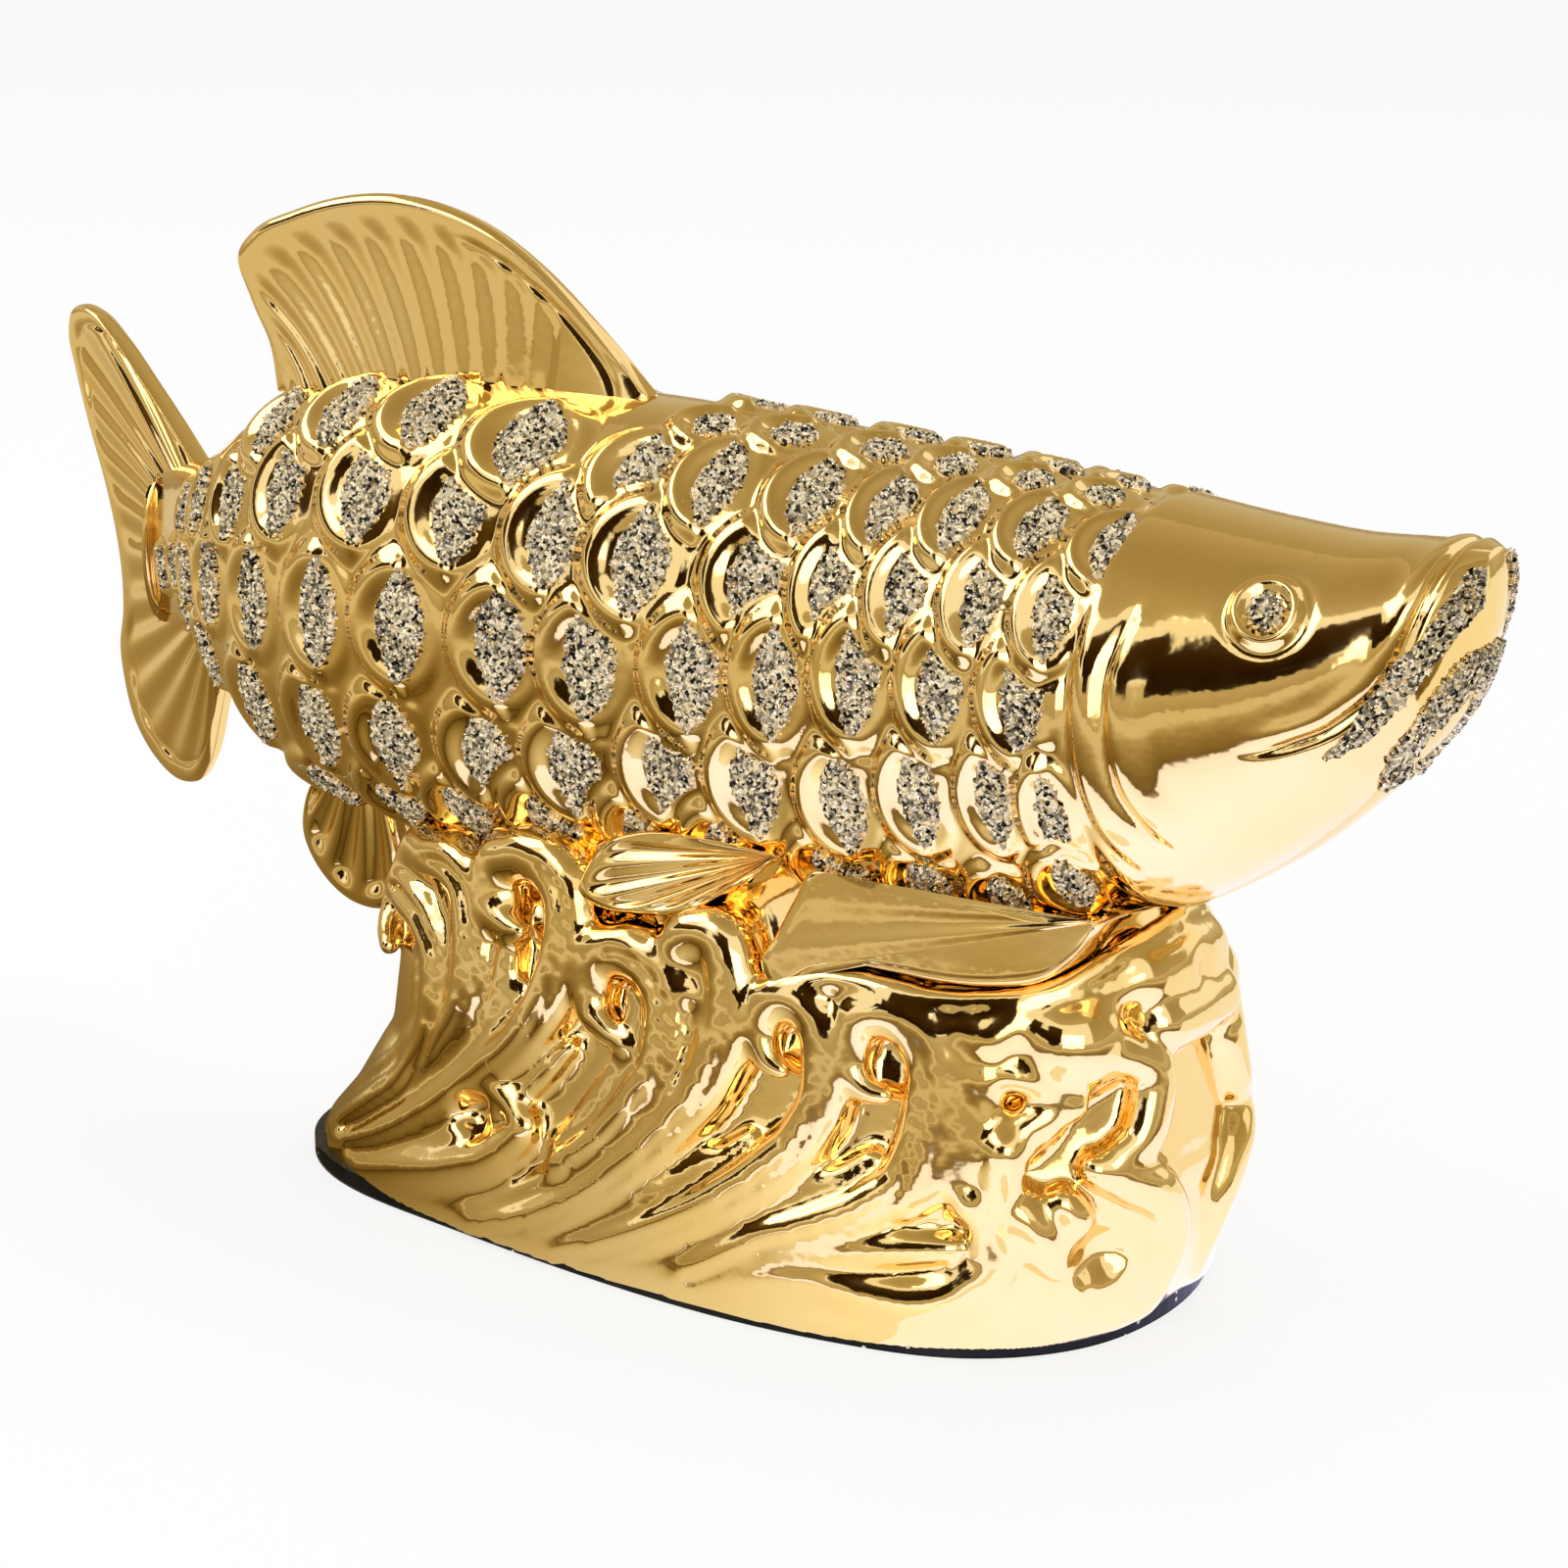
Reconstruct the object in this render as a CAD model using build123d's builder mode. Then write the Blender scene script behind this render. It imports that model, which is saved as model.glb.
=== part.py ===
from build123d import *
import math
import os

# Dragon-fish figurine on a wave base. Millimetres, +Z up, the head points to +X and the
# flank that the photograph shows faces -Y. The underside of the sole lies on z = 0.
# Fish places are shares of its length along x and of its depth above the belly line.

os.makedirs("parts", exist_ok=True)

# Driving dimensions of the fish
FISH_LENGTH = 320.5
FISH_DEPTH = 95.5
FISH_HALF_WIDTH = 36.5
BELLY_HEIGHT = 65.0
TAIL_SWING = 28.0
CASTING_WALL = 5.0
SECTION_POWER = 2.15
SECTION_POINTS = 12
PROBE_COUNT = 320

# Scales and the grit in them
SCALE_HALF_LENGTH = 7.2
SCALE_HALF_HEIGHT = 10.4
SCALE_SINK = 3.0
SCALE_TILT = 7.0
FULL_DEPTH_SHARE = 0.963
GRIT_THICK = 1.0
GRIT_SEAT = 0.6
GRIT_LENGTH_SHARE = 0.72
GRIT_HEIGHT_SHARE = 0.82

# Eyes
EYE_PLACE_SHARE = 0.349
EYE_ANGLE = 50.0
EYE_RING_RADIUS = 7.6
EYE_GRIT_RADIUS = 4.8
EYE_RING_HEIGHT = 1.6
EYE_RECESS = 0.6
EYE_SINK = 4.0

# Bands on the mouth and the gill
LIP_RISE = 1.1
BAND_THICK = 0.8
MID_GAP = 1.4

# Fins
DORSAL_LENGTH = 99.5
DORSAL_HEIGHT = 46.8
DORSAL_THICK = 8.0
DORSAL_RAYS = 11
TAIL_LENGTH = 62.0
TAIL_HEIGHT = 100.0
TAIL_THICK = 7.0
TAIL_ANGLE = 20.0
TAIL_LOBE_RAYS = 5
ANAL_LENGTH = 33.5
ANAL_HEIGHT = 33.0
ANAL_THICK = 7.0
ANAL_RAYS = 5
PECTORAL_LENGTH = 77.5
PECTORAL_DEPTH = 20.0
PELVIC_LENGTH = 52.5
PELVIC_DEPTH = 16.0
PAIRED_THICK = 6.0
RIM_RADIUS = 2.2
PAIRED_RIM_RADIUS = 1.5
RAY_DEPTH = 0.8
RAY_WIDTH = 1.1

# Wave base and sole
BASE_LENGTH = 189.5
BASE_HALF_WIDTH = 48.5
BASE_HEIGHT = 70.4
BASE_WALL = 7.0
SOLE_THICK = 3.6
VENT_RADIUS = 6.0
CREST_HALF_WIDTH = 6.0
CREST_RISE = 4.5
CREST_LEAN = 10.0
LUMP_RADIUS = 11.0

# Stations of the fish: along, sideways swing, top, bottom, half width, height of the widest line
STATION_SHARES = [
    (-0.549, 1, 0.623, 0.22, 0.164, 0.5),
    (-0.499, 0.782, 0.667, 0.231, 0.29, 0.5),
    (-0.437, 0.475, 0.763, 0.198, 0.471, 0.5),
    (-0.374, 0.229, 0.885, 0.097, 0.682, 0.5),
    (-0.296, 0.068, 0.969, 0.028, 0.86, 0.5),
    (-0.187, 0, 1, 0.005, 0.945, 0.5),
    (-0.047, 0, 1.001, 0.001, 0.995, 0.5),
    (0.094, 0, 0.979, 0.021, 1, 0.5),
    (0.206, 0, 0.953, 0.076, 0.978, 0.5),
    (0.293, 0, 0.927, 0.188, 0.885, 0.5),
    (0.359, 0, 0.914, 0.337, 0.732, 0.52),
    (0.402, 0, 0.923, 0.484, 0.564, 0.56),
    (0.432, 0, 0.932, 0.627, 0.386, 0.62),
    (0.451, 0, 0.915, 0.812, 0.11, 0.55),
]
CAVITY_FIRST = 2
CAVITY_LAST = 12

# Scale rows: angle down from the ridge in degrees, disc length, disc height, places along x
SCALE_ROW_SHARES = [
    (31.0, 0.972, 0.846,
     [0.25, 0.203, 0.156, 0.112, 0.062, 0.003, -0.056, -0.134, -0.212, -0.281, -0.34]),
    (57.0, 0.972, 0.923,
     [0.231, 0.184, 0.137, 0.09, 0.037, -0.028, -0.097, -0.168, -0.24, -0.306, -0.359, -0.409]),
    (85.0, 1, 1,
     [0.222, 0.172, 0.119, 0.066, 0.006, -0.062, -0.131, -0.203, -0.268, -0.324, -0.381, -0.437, -0.49]),
    (110.5, 0.972, 0.904,
     [0.236, 0.193, 0.147, 0.097, 0.041, -0.019, -0.084, -0.153, -0.222, -0.284, -0.34, -0.396]),
    (132.0, 0.972, 0.654,
     [0.246, 0.2, 0.15, 0.094, 0.025, -0.041, -0.109, -0.178, -0.243, -0.303]),
]
RIDGE_ROW_SHARES = (10.5, 0.889, 0.404, [0.222, 0.175, 0.128, 0.078, 0.022, -0.031])

# Outlines in the side view of the fish
LIP_EDGE_SHARES = [(0.432, 0.942), (0.42, 0.874), (0.41, 0.791), (0.398, 0.702), (0.384, 0.628),
    (0.37, 0.565), (0.376, 0.539), (0.393, 0.551), (0.409, 0.59), (0.424, 0.658), (0.436, 0.729),
    (0.446, 0.796), (0.459, 0.859), (0.456, 0.942)]
LIP_GRIT_SHARES = [(0.443, 0.921), (0.436, 0.874), (0.427, 0.81), (0.416, 0.738), (0.404, 0.681),
    (0.384, 0.584), (0.391, 0.57), (0.406, 0.605), (0.42, 0.663), (0.432, 0.734), (0.442, 0.8),
    (0.452, 0.853), (0.456, 0.901)]
CHIN_GRIT_SHARES = [(0.446, 0.77), (0.436, 0.705), (0.424, 0.625), (0.411, 0.551), (0.398, 0.48),
    (0.399, 0.45), (0.41, 0.497), (0.427, 0.581), (0.44, 0.665), (0.451, 0.743)]
GILL_BAND_SHARES = [(0.268, 0.822), (0.251, 0.754), (0.243, 0.649), (0.245, 0.539), (0.253, 0.408),
    (0.264, 0.319), (0.278, 0.262), (0.29, 0.246), (0.298, 0.272), (0.284, 0.33), (0.273, 0.414),
    (0.267, 0.534), (0.265, 0.649), (0.273, 0.754), (0.284, 0.822)]

# Fin outlines: along and up from each fin's place, the foot runs inside the body
DORSAL_EDGE_SHARES = [(0, 0.299), (0.141, 0.577), (0.261, 0.78), (0.372, 0.908), (0.492, 0.979),
    (0.613, 1), (0.734, 0.962), (0.854, 0.88), (0.975, 0.759), (1, 0.673), (0.965, 0.491), (0.92, 0.299),
    (0.915, 0.107)]
DORSAL_FOOT_SHARES = [(0.915, 0), (0.704, 0.128), (0.402, 0.214), (0.04, 0.224)]
DORSAL_PLACE_SHARES = (-0.094, 0.848)
DORSAL_RAY_SHARES = [(0.854, 0.342), (0.181, 0.47), (0.935, 0.662), (0.422, 0.855)]
DORSAL_BOW_SHARES = (-0.02, -0.02)
TAIL_EDGE_SHARES = [(-0.04, 0.747), (0.113, 0.812), (0.306, 0.889), (0.5, 0.962), (0.637, 0.998),
    (0.726, 1), (0.815, 0.976), (0.831, 0.937), (0.79, 0.86), (0.71, 0.742), (0.613, 0.622),
    (0.556, 0.532), (0.521, 0.432), (0.519, 0.342), (0.552, 0.252), (0.532, 0.182), (0.476, 0.102),
    (0.323, 0.024), (0.153, 0), (0.044, 0.022), (-0.024, 0.067), (-0.113, 0.187), (-0.169, 0.267)]
TAIL_FOOT_SHARES = [(-0.129, 0.352), (-0.065, 0.512), (-0.097, 0.652)]
TAIL_PLACE_SHARES = (-0.512, 0.857, -0.128)
TAIL_UPPER_RAY_SHARES = [(0.129, 0.752), (0.387, 0.532), (0.581, 0.932), (0.645, 0.742)]
TAIL_LOWER_RAY_SHARES = [(0.081, 0.232), (0.387, 0.392), (0.161, 0.072), (0.452, 0.202)]
ANAL_EDGE_SHARES = [(0.836, 0.879), (0.97, 0.636), (1, 0.394), (0.866, 0.152), (0.627, 0), (0.388, 0),
    (0.209, 0.152), (0.06, 0.455), (0, 0.818)]
ANAL_FOOT_SHARES = [(0.239, 0.939), (0.597, 1)]
ANAL_PLACE_SHARES = (-0.262, -0.209)
ANAL_RAY_SHARES = [(0.716, 0.636), (0.209, 0.545), (0.866, 0.333), (0.328, 0.121)]
PECTORAL_EDGE_SHARES = [(0.065, -0.35), (0.116, -0.05), (0.168, 0.15), (0.227, 0.36), (0.316, 0.545),
    (0.41, 0.63), (0.537, 0.65), (0.668, 0.61), (0.805, 0.575), (0.903, 0.65), (0.974, 0.625), (1, 0.425),
    (0.974, 0.05), (0.935, -0.3)]
PECTORAL_FOOT_SHARES = [(0.697, -0.45), (0.361, -0.5)]
PECTORAL_PLACE_SHARES = (0.287, -0.575, 0.168)
PECTORAL_BACKWARD = (-1.0, -0.06, -0.1)
PECTORAL_OUTWARD = (0.0, -0.8, 0.6)
PELVIC_EDGE_SHARES = [(0.162, -0.375), (0.29, -0.075), (0.444, 0.225), (0.6, 0.35), (0.752, 0.325),
    (0.905, 0.188), (1, -0.062), (0.962, -0.375), (0.848, -0.594), (0.733, -0.688)]
PELVIC_FOOT_SHARES = [(0.486, -0.812)]
PELVIC_PLACE_SHARES = (0.062, -0.466, 0.073)
PELVIC_BACKWARD = (-1.0, -0.15, 0.0)
PELVIC_OUTWARD = (0.0, -0.86, 0.5)

# Sole and base levels: along and half width, from the tail end to the head end
SOLE_SHARES = [(-0.549, 0.247), (-0.512, 0.515), (-0.438, 0.711), (-0.306, 0.835), (-0.153, 0.928),
    (-0.021, 0.986), (0.121, 1), (0.237, 0.948), (0.322, 0.856), (0.391, 0.67), (0.433, 0.433),
    (0.451, 0.165)]
LEVEL_SHARES = [
    (0,
     [(-0.522, 0.227), (-0.48, 0.515), (-0.317, 0.794), (-0.106, 0.907),
      (0.121, 0.948), (0.306, 0.825), (0.412, 0.495), (0.441, 0.186)]),
    (0.162,
     [(-0.485, 0.227), (-0.449, 0.474), (-0.306, 0.742), (-0.106, 0.866),
      (0.121, 0.928), (0.317, 0.825), (0.433, 0.495), (0.464, 0.186)]),
    (0.375,
     [(-0.459, 0.206), (-0.422, 0.433), (-0.296, 0.66), (-0.106, 0.784),
      (0.106, 0.845), (0.306, 0.784), (0.433, 0.474), (0.47, 0.186)]),
    (0.602,
     [(-0.464, 0.186), (-0.422, 0.371), (-0.296, 0.557), (-0.106, 0.66),
      (0.106, 0.722), (0.296, 0.68), (0.417, 0.433), (0.459, 0.165)]),
    (0.83,
     [(-0.485, 0.165), (-0.443, 0.33), (-0.296, 0.474), (-0.106, 0.557),
      (0.106, 0.598), (0.285, 0.577), (0.401, 0.392), (0.449, 0.165)]),
    (1,
     [(-0.496, 0.144), (-0.454, 0.289), (-0.296, 0.412), (-0.106, 0.474),
      (0.106, 0.515), (0.285, 0.495), (0.391, 0.351), (0.433, 0.144)]),
]
LEVELS_IN_CAVITY = 4

# Wave crests of one flank: turn of the crest's plane in degrees, then along, sideways, up and half width
CREST_SHARES = [
    (-28, [(-0.427, -0.372, 0.574, 0.367), (-0.454, -0.000, 0.659, 0.533), (-0.422, -0.308, 0.744, 0.750),
           (-0.359, -0.516, 0.730, 0.883), (-0.327, -0.611, 0.602, 0.917), (-0.338, -0.622, 0.403, 0.833),
           (-0.391, -0.591, 0.205, 0.700), (-0.454, -0.513, 0.048, 0.500)]),
    (-22, [(-0.354, -0.522, 0.744, 0.367), (-0.391, -0.422, 0.773, 0.567), (-0.385, -0.384, 0.872, 0.800),
           (-0.327, -0.491, 0.943, 0.933), (-0.269, -0.603, 0.858, 1.000), (-0.264, -0.675, 0.631, 0.917),
           (-0.317, -0.660, 0.375, 0.800), (-0.427, -0.550, 0.119, 0.667)]),
    (-14, [(-0.195, -0.673, 0.815, 0.367), (-0.237, -0.636, 0.844, 0.600), (-0.243, -0.599, 0.943, 0.833),
           (-0.190, -0.604, 1.028, 0.967), (-0.142, -0.658, 0.943, 1.050), (-0.142, -0.715, 0.744, 1.000),
           (-0.190, -0.754, 0.503, 0.900), (-0.296, -0.726, 0.261, 0.750), (-0.412, -0.621, 0.062, 0.500)]),
    (-4, [(-0.053, -0.768, 0.602, 0.333), (-0.090, -0.750, 0.659, 0.600), (-0.095, -0.721, 0.773, 0.833),
          (-0.047, -0.711, 0.830, 0.967), (-0.011, -0.735, 0.744, 1.000), (-0.011, -0.783, 0.545, 0.967),
          (-0.058, -0.825, 0.361, 0.833), (-0.116, -0.845, 0.233, 0.500)]),
    (0, [(0.011, -0.732, 0.759, 0.300), (-0.011, -0.721, 0.801, 0.500), (0.000, -0.693, 0.901, 0.767),
         (0.042, -0.684, 0.929, 0.900), (0.071, -0.723, 0.787, 0.933), (0.053, -0.786, 0.531, 0.933),
         (-0.026, -0.843, 0.290, 0.833), (-0.164, -0.861, 0.048, 0.667)]),
    (5, [(0.121, -0.757, 0.616, 0.300), (0.098, -0.748, 0.673, 0.533), (0.111, -0.719, 0.787, 0.767),
         (0.158, -0.711, 0.773, 0.867), (0.179, -0.740, 0.616, 0.883), (0.148, -0.803, 0.403, 0.883),
         (0.053, -0.858, 0.205, 0.833), (-0.063, -0.876, 0.048, 0.667)]),
    (12, [(0.227, -0.720, 0.602, 0.300), (0.201, -0.721, 0.659, 0.533), (0.206, -0.692, 0.773, 0.767),
          (0.253, -0.656, 0.808, 0.867), (0.288, -0.661, 0.659, 0.883), (0.280, -0.724, 0.432, 0.883),
          (0.201, -0.813, 0.247, 0.833), (0.074, -0.869, 0.062, 0.667)]),
    (8, [(0.032, -0.874, 0.034, 0.333), (0.116, -0.859, 0.062, 0.583), (0.201, -0.823, 0.091, 0.833),
         (0.285, -0.749, 0.091, 1.000), (0.338, -0.682, 0.176, 0.833), (0.343, -0.673, 0.304, 0.500)]),
]
# Steps that round a crest: share of its width and height over its plane
CREST_STEP_SHARES = [(1, 0.3, 4), (0.6, 1, 1.1)]
# Foam lumps: along, sideways, up and radius
LUMP_SHARES = [(0.401, -0.557, 0.83, 0.818), (0.38, -0.68, 0.602, 0.818), (0.327, -0.804, 0.304, 0.727),
    (0.422, -0.474, 0.375, 1), (0.433, -0.33, 0.744, 0.909)]


def fish_x(share):
    """Place along the fish."""
    return share * FISH_LENGTH


def fish_z(share):
    """Height on the fish, counted from the belly line."""
    return BELLY_HEIGHT + share * FISH_DEPTH


def side_points(shares):
    """Points of an outline in the side view of the fish."""
    return [(fish_x(along), fish_z(up)) for along, up in shares]


def box_points(shares, length, height):
    """Points of an outline in the box of its own piece."""
    return [(along * length, up * height) for along, up in shares]


def station(x):
    """Swing, top, bottom, half width and middle share at x, on smooth curves through the stations."""
    places = [row[0] * FISH_LENGTH for row in STATION_SHARES]
    x = min(max(x, places[0]), places[-1])
    k = max(i for i in range(len(places) - 1) if places[i] <= x)
    step = places[k + 1] - places[k]
    t = (x - places[k]) / step
    values = []
    for column in range(1, len(STATION_SHARES[0])):
        row = [line[column] for line in STATION_SHARES]
        slopes = [(row[i + 1] - row[i]) / (places[i + 1] - places[i]) for i in range(len(row) - 1)]
        ends = []
        for i in (k, k + 1):
            if i == 0 or i == len(row) - 1:
                ends.append(slopes[min(i, len(slopes) - 1)])
            else:
                before = places[i] - places[i - 1]
                after = places[i + 1] - places[i]
                ends.append((slopes[i - 1] * after + slopes[i] * before) / (before + after))
        values.append((2 * t**3 - 3 * t**2 + 1) * row[k] + (t**3 - 2 * t**2 + t) * step * ends[0]
                      + (3 * t**2 - 2 * t**3) * row[k + 1] + (t**3 - t**2) * step * ends[1])
    swing, top, bottom, half, middle = values
    return swing * TAIL_SWING, fish_z(top), fish_z(bottom), half * FISH_HALF_WIDTH, middle


def spine_direction(x):
    """Unit vector along the spine, towards the head."""
    probe = FISH_LENGTH / PROBE_COUNT
    ahead = min(x + probe, fish_x(STATION_SHARES[-1][0]))
    behind = max(x - probe, fish_x(STATION_SHARES[0][0]))
    return Vector(ahead - behind, station(ahead)[0] - station(behind)[0], 0).normalized()


def section_point(x, angle, grow=0.0):
    """Across and up offsets of the section at x; angle 0 is the ridge, positive towards -Y."""
    _, top, bottom, half, share = station(x)
    top = top + grow
    bottom = bottom - grow
    half = half + grow
    middle = bottom + (top - bottom) * share
    cosine = math.cos(angle)
    sine = math.sin(angle)
    reach = (abs(cosine) ** SECTION_POWER + abs(sine) ** SECTION_POWER) ** (-1 / SECTION_POWER)
    height = (top - middle) if cosine > 0 else (middle - bottom)
    return half * sine * reach, middle + height * cosine * reach


def section_loop(x, grow):
    """Points of the closed section at x, in the plane across the spine."""
    angles = [2 * math.pi * i / SECTION_POINTS for i in range(SECTION_POINTS)]
    return [section_point(x, angle, grow) for angle in angles]


def section_plane(x):
    """Upright plane across the spine at x, local x to the right of the fish, local y upwards."""
    along = spine_direction(x)
    return Plane(origin=(x, station(x)[0], 0), x_dir=(along.Y, -along.X, 0), z_dir=along * -1)


def skin_point(x, angle):
    """Point of the skin in space."""
    across, up = section_point(x, angle)
    along = spine_direction(x)
    return Vector(x, station(x)[0], up) + Vector(along.Y, -along.X, 0) * across


def skin_plane(x, angle, lift, tilt=0.0):
    """Plane on the skin: local x runs towards the head, local z points outwards."""
    probe = FISH_LENGTH / PROBE_COUNT
    turn = math.tau / PROBE_COUNT
    here = skin_point(x, angle)
    along = (skin_point(x + probe, angle) - skin_point(x - probe, angle)).normalized()
    around = (skin_point(x, angle + turn) - skin_point(x, angle - turn)).normalized()
    out = along.cross(around).normalized()
    swing, top, bottom, _, _ = station(x)
    if out.dot(here - Vector(x, swing, (top + bottom) / 2)) < 0:
        out = out * -1
    seat = Plane(origin=here, x_dir=along, z_dir=out)
    if tilt:
        seat = seat.rotated((0, tilt, 0))
    return seat.offset(lift)


def scale_seats(row, side, lift):
    """Plane, half length and half height of each scale of a row; side is 1 for -Y and -1 for +Y."""
    angle, length_share, height_share, places = row
    seats = []
    for place in places:
        x = fish_x(place)
        _, top, bottom, _, _ = station(x)
        share = min(1, (top - bottom) / (FISH_DEPTH * FULL_DEPTH_SHARE))
        plane = skin_plane(x, side * math.radians(angle), lift, SCALE_TILT)
        seats.append((plane, SCALE_HALF_LENGTH * length_share * share, SCALE_HALF_HEIGHT * height_share * share))
    return seats


def between(first, last, share):
    """Point at a share of the way from first to last."""
    return tuple(a + (b - a) * share for a, b in zip(first, last))


def ray_fan(shares, count, length, height, bow=(0.0, 0.0)):
    """Long sides of the grooves between fin rays: roots and tips run from the first to the last."""
    root_first, root_last, tip_first, tip_last = box_points(shares, length, height)
    bow = (bow[0] * length, bow[1] * height)
    fan = []
    for i in range(count):
        root = between(root_first, root_last, i / (count - 1))
        tip = between(tip_first, tip_last, i / (count - 1))
        middle = between(root, tip, 1 / 2)
        near = [root, (middle[0] + bow[0], middle[1] + bow[1]), tip]
        far = [(u + RAY_WIDTH, v) for u, v in near]
        fan.append((near, far))
    return fan


def loop_points(shares, inset=0.0):
    """Closed loop through a half outline of the base and its mirror image."""
    half = []
    for along, wide in shares:
        x = along * BASE_LENGTH
        half.append((x - math.copysign(inset, x), wide * BASE_HALF_WIDTH - inset))
    return [(x, -y) for x, y in half] + [(x, y) for x, y in reversed(half)]


def step_off(here, there, reach):
    """Point that lies reach behind here, seen from there."""
    length = math.hypot(there[0] - here[0], there[1] - here[1])
    return (here[0] - (there[0] - here[0]) / length * reach, here[1] - (there[1] - here[1]) / length * reach)


def crest_loop(spine, halves):
    """Closed outline of a crest: both sides of its spine, with a point beyond each end."""
    near, far = [], []
    for i, (here, half) in enumerate(zip(spine, halves)):
        back, ahead = spine[max(i - 1, 0)], spine[min(i + 1, len(spine) - 1)]
        length = math.hypot(ahead[0] - back[0], ahead[1] - back[1])
        aside = ((ahead[1] - back[1]) / length * half, (back[0] - ahead[0]) / length * half)
        near.append((here[0] + aside[0], here[1] + aside[1]))
        far.append((here[0] - aside[0], here[1] - aside[1]))
    tip = step_off(spine[0], spine[1], halves[0])
    end = step_off(spine[-1], spine[-2], halves[-1])
    return [tip] + near + [end] + far[::-1]


def base_z(share):
    """Height on the base, counted from the top of the sole."""
    return SOLE_THICK + share * BASE_HEIGHT


STATION_PLACES = [fish_x(row[0]) for row in STATION_SHARES]
SIDE_VIEW = Plane(origin=(0, 0, 0), x_dir=(1, 0, 0), z_dir=(0, -1, 0))
FLANKS = ((1, "right"), (-1, "left"))

# Full form of the fish with its scales, used as the cutter for everything that seats on it
with BuildPart() as fish_form:
    for x in STATION_PLACES:
        with BuildSketch(section_plane(x)):
            with BuildLine():
                Spline(*section_loop(x, 0), periodic=True)
            make_face()
    loft()
    for row in SCALE_ROW_SHARES + [RIDGE_ROW_SHARES]:
        for side, flank in FLANKS:
            for seat, half_length, half_height in scale_seats(row, side, -SCALE_SINK):
                with BuildSketch(seat):
                    Ellipse(half_length, half_height)
    extrude(amount=SCALE_SINK + GRIT_SEAT)
    for side, flank in FLANKS:
        with BuildSketch(skin_plane(fish_x(EYE_PLACE_SHARE), side * math.radians(EYE_ANGLE), -EYE_SINK)):
            Circle(EYE_RING_RADIUS)
        extrude(amount=EYE_SINK + EYE_RING_HEIGHT)
        with BuildSketch(skin_plane(fish_x(EYE_PLACE_SHARE), side * math.radians(EYE_ANGLE), EYE_RECESS)):
            Circle(EYE_GRIT_RADIUS)
        extrude(amount=EYE_RING_HEIGHT, mode=Mode.SUBTRACT)

# Raised lip and gill bands: the skin grown outwards, kept only inside the band outlines
with BuildPart() as raised_bands:
    for x in STATION_PLACES:
        with BuildSketch(section_plane(x)):
            with BuildLine():
                Spline(*section_loop(x, LIP_RISE), periodic=True)
            make_face()
    loft()
    with BuildSketch(SIDE_VIEW):
        with BuildLine():
            Spline(*side_points(LIP_EDGE_SHARES), periodic=True)
        make_face()
        with BuildLine():
            Spline(*side_points(GILL_BAND_SHARES), periodic=True)
        make_face()
    extrude(amount=FISH_HALF_WIDTH * 2, both=True, mode=Mode.INTERSECT)

with BuildPart() as fish_solid:
    add(fish_form.part)
    add(raised_bands.part)

# Hollow casting of the fish
with BuildPart() as fish_body:
    add(fish_solid.part)
    for x in STATION_PLACES[CAVITY_FIRST:CAVITY_LAST]:
        with BuildSketch(section_plane(x)):
            with BuildLine():
                Spline(*section_loop(x, -CASTING_WALL), periodic=True)
            make_face()
    loft(mode=Mode.SUBTRACT)
fish_body.part.label = "fish_body"
export_step(fish_body.part, "parts/fish_body.step")

# Grit glued into the scales, one node for each row and flank
for number, row in enumerate(SCALE_ROW_SHARES):
    for side, flank in FLANKS:
        with BuildPart() as scale_grit:
            for seat, half_length, half_height in scale_seats(row, side, GRIT_SEAT):
                with BuildSketch(seat):
                    Ellipse(half_length * GRIT_LENGTH_SHARE, half_height * GRIT_HEIGHT_SHARE)
            extrude(amount=GRIT_THICK)
        name = "scale_grit_" + flank + "_row_" + str(number + 1)
        scale_grit.part.label = name
        export_step(scale_grit.part, "parts/" + name + ".step")

for side, flank in FLANKS:
    with BuildPart() as ridge_grit:
        for seat, half_length, half_height in scale_seats(RIDGE_ROW_SHARES, side, GRIT_SEAT):
            with BuildSketch(seat):
                Ellipse(half_length * GRIT_LENGTH_SHARE, half_height * GRIT_HEIGHT_SHARE)
        extrude(amount=GRIT_THICK)
    ridge_grit.part.label = "ridge_grit_" + flank
    export_step(ridge_grit.part, "parts/ridge_grit_" + flank + ".step")

# Space kept free over the lowest scales, where fins and waves come close
with BuildPart() as low_grit:
    for side, flank in FLANKS:
        for seat, half_length, half_height in scale_seats(SCALE_ROW_SHARES[-1], side, GRIT_SEAT):
            with BuildSketch(seat):
                Ellipse(half_length, half_height)
    extrude(amount=GRIT_THICK)

# Grit discs in the eyes
for side, flank in FLANKS:
    with BuildPart() as eye_grit:
        with BuildSketch(skin_plane(fish_x(EYE_PLACE_SHARE), side * math.radians(EYE_ANGLE), EYE_RECESS)):
            Circle(EYE_GRIT_RADIUS)
        extrude(amount=GRIT_THICK)
    eye_grit.part.label = "eye_grit_" + flank
    export_step(eye_grit.part, "parts/eye_grit_" + flank + ".step")

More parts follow.
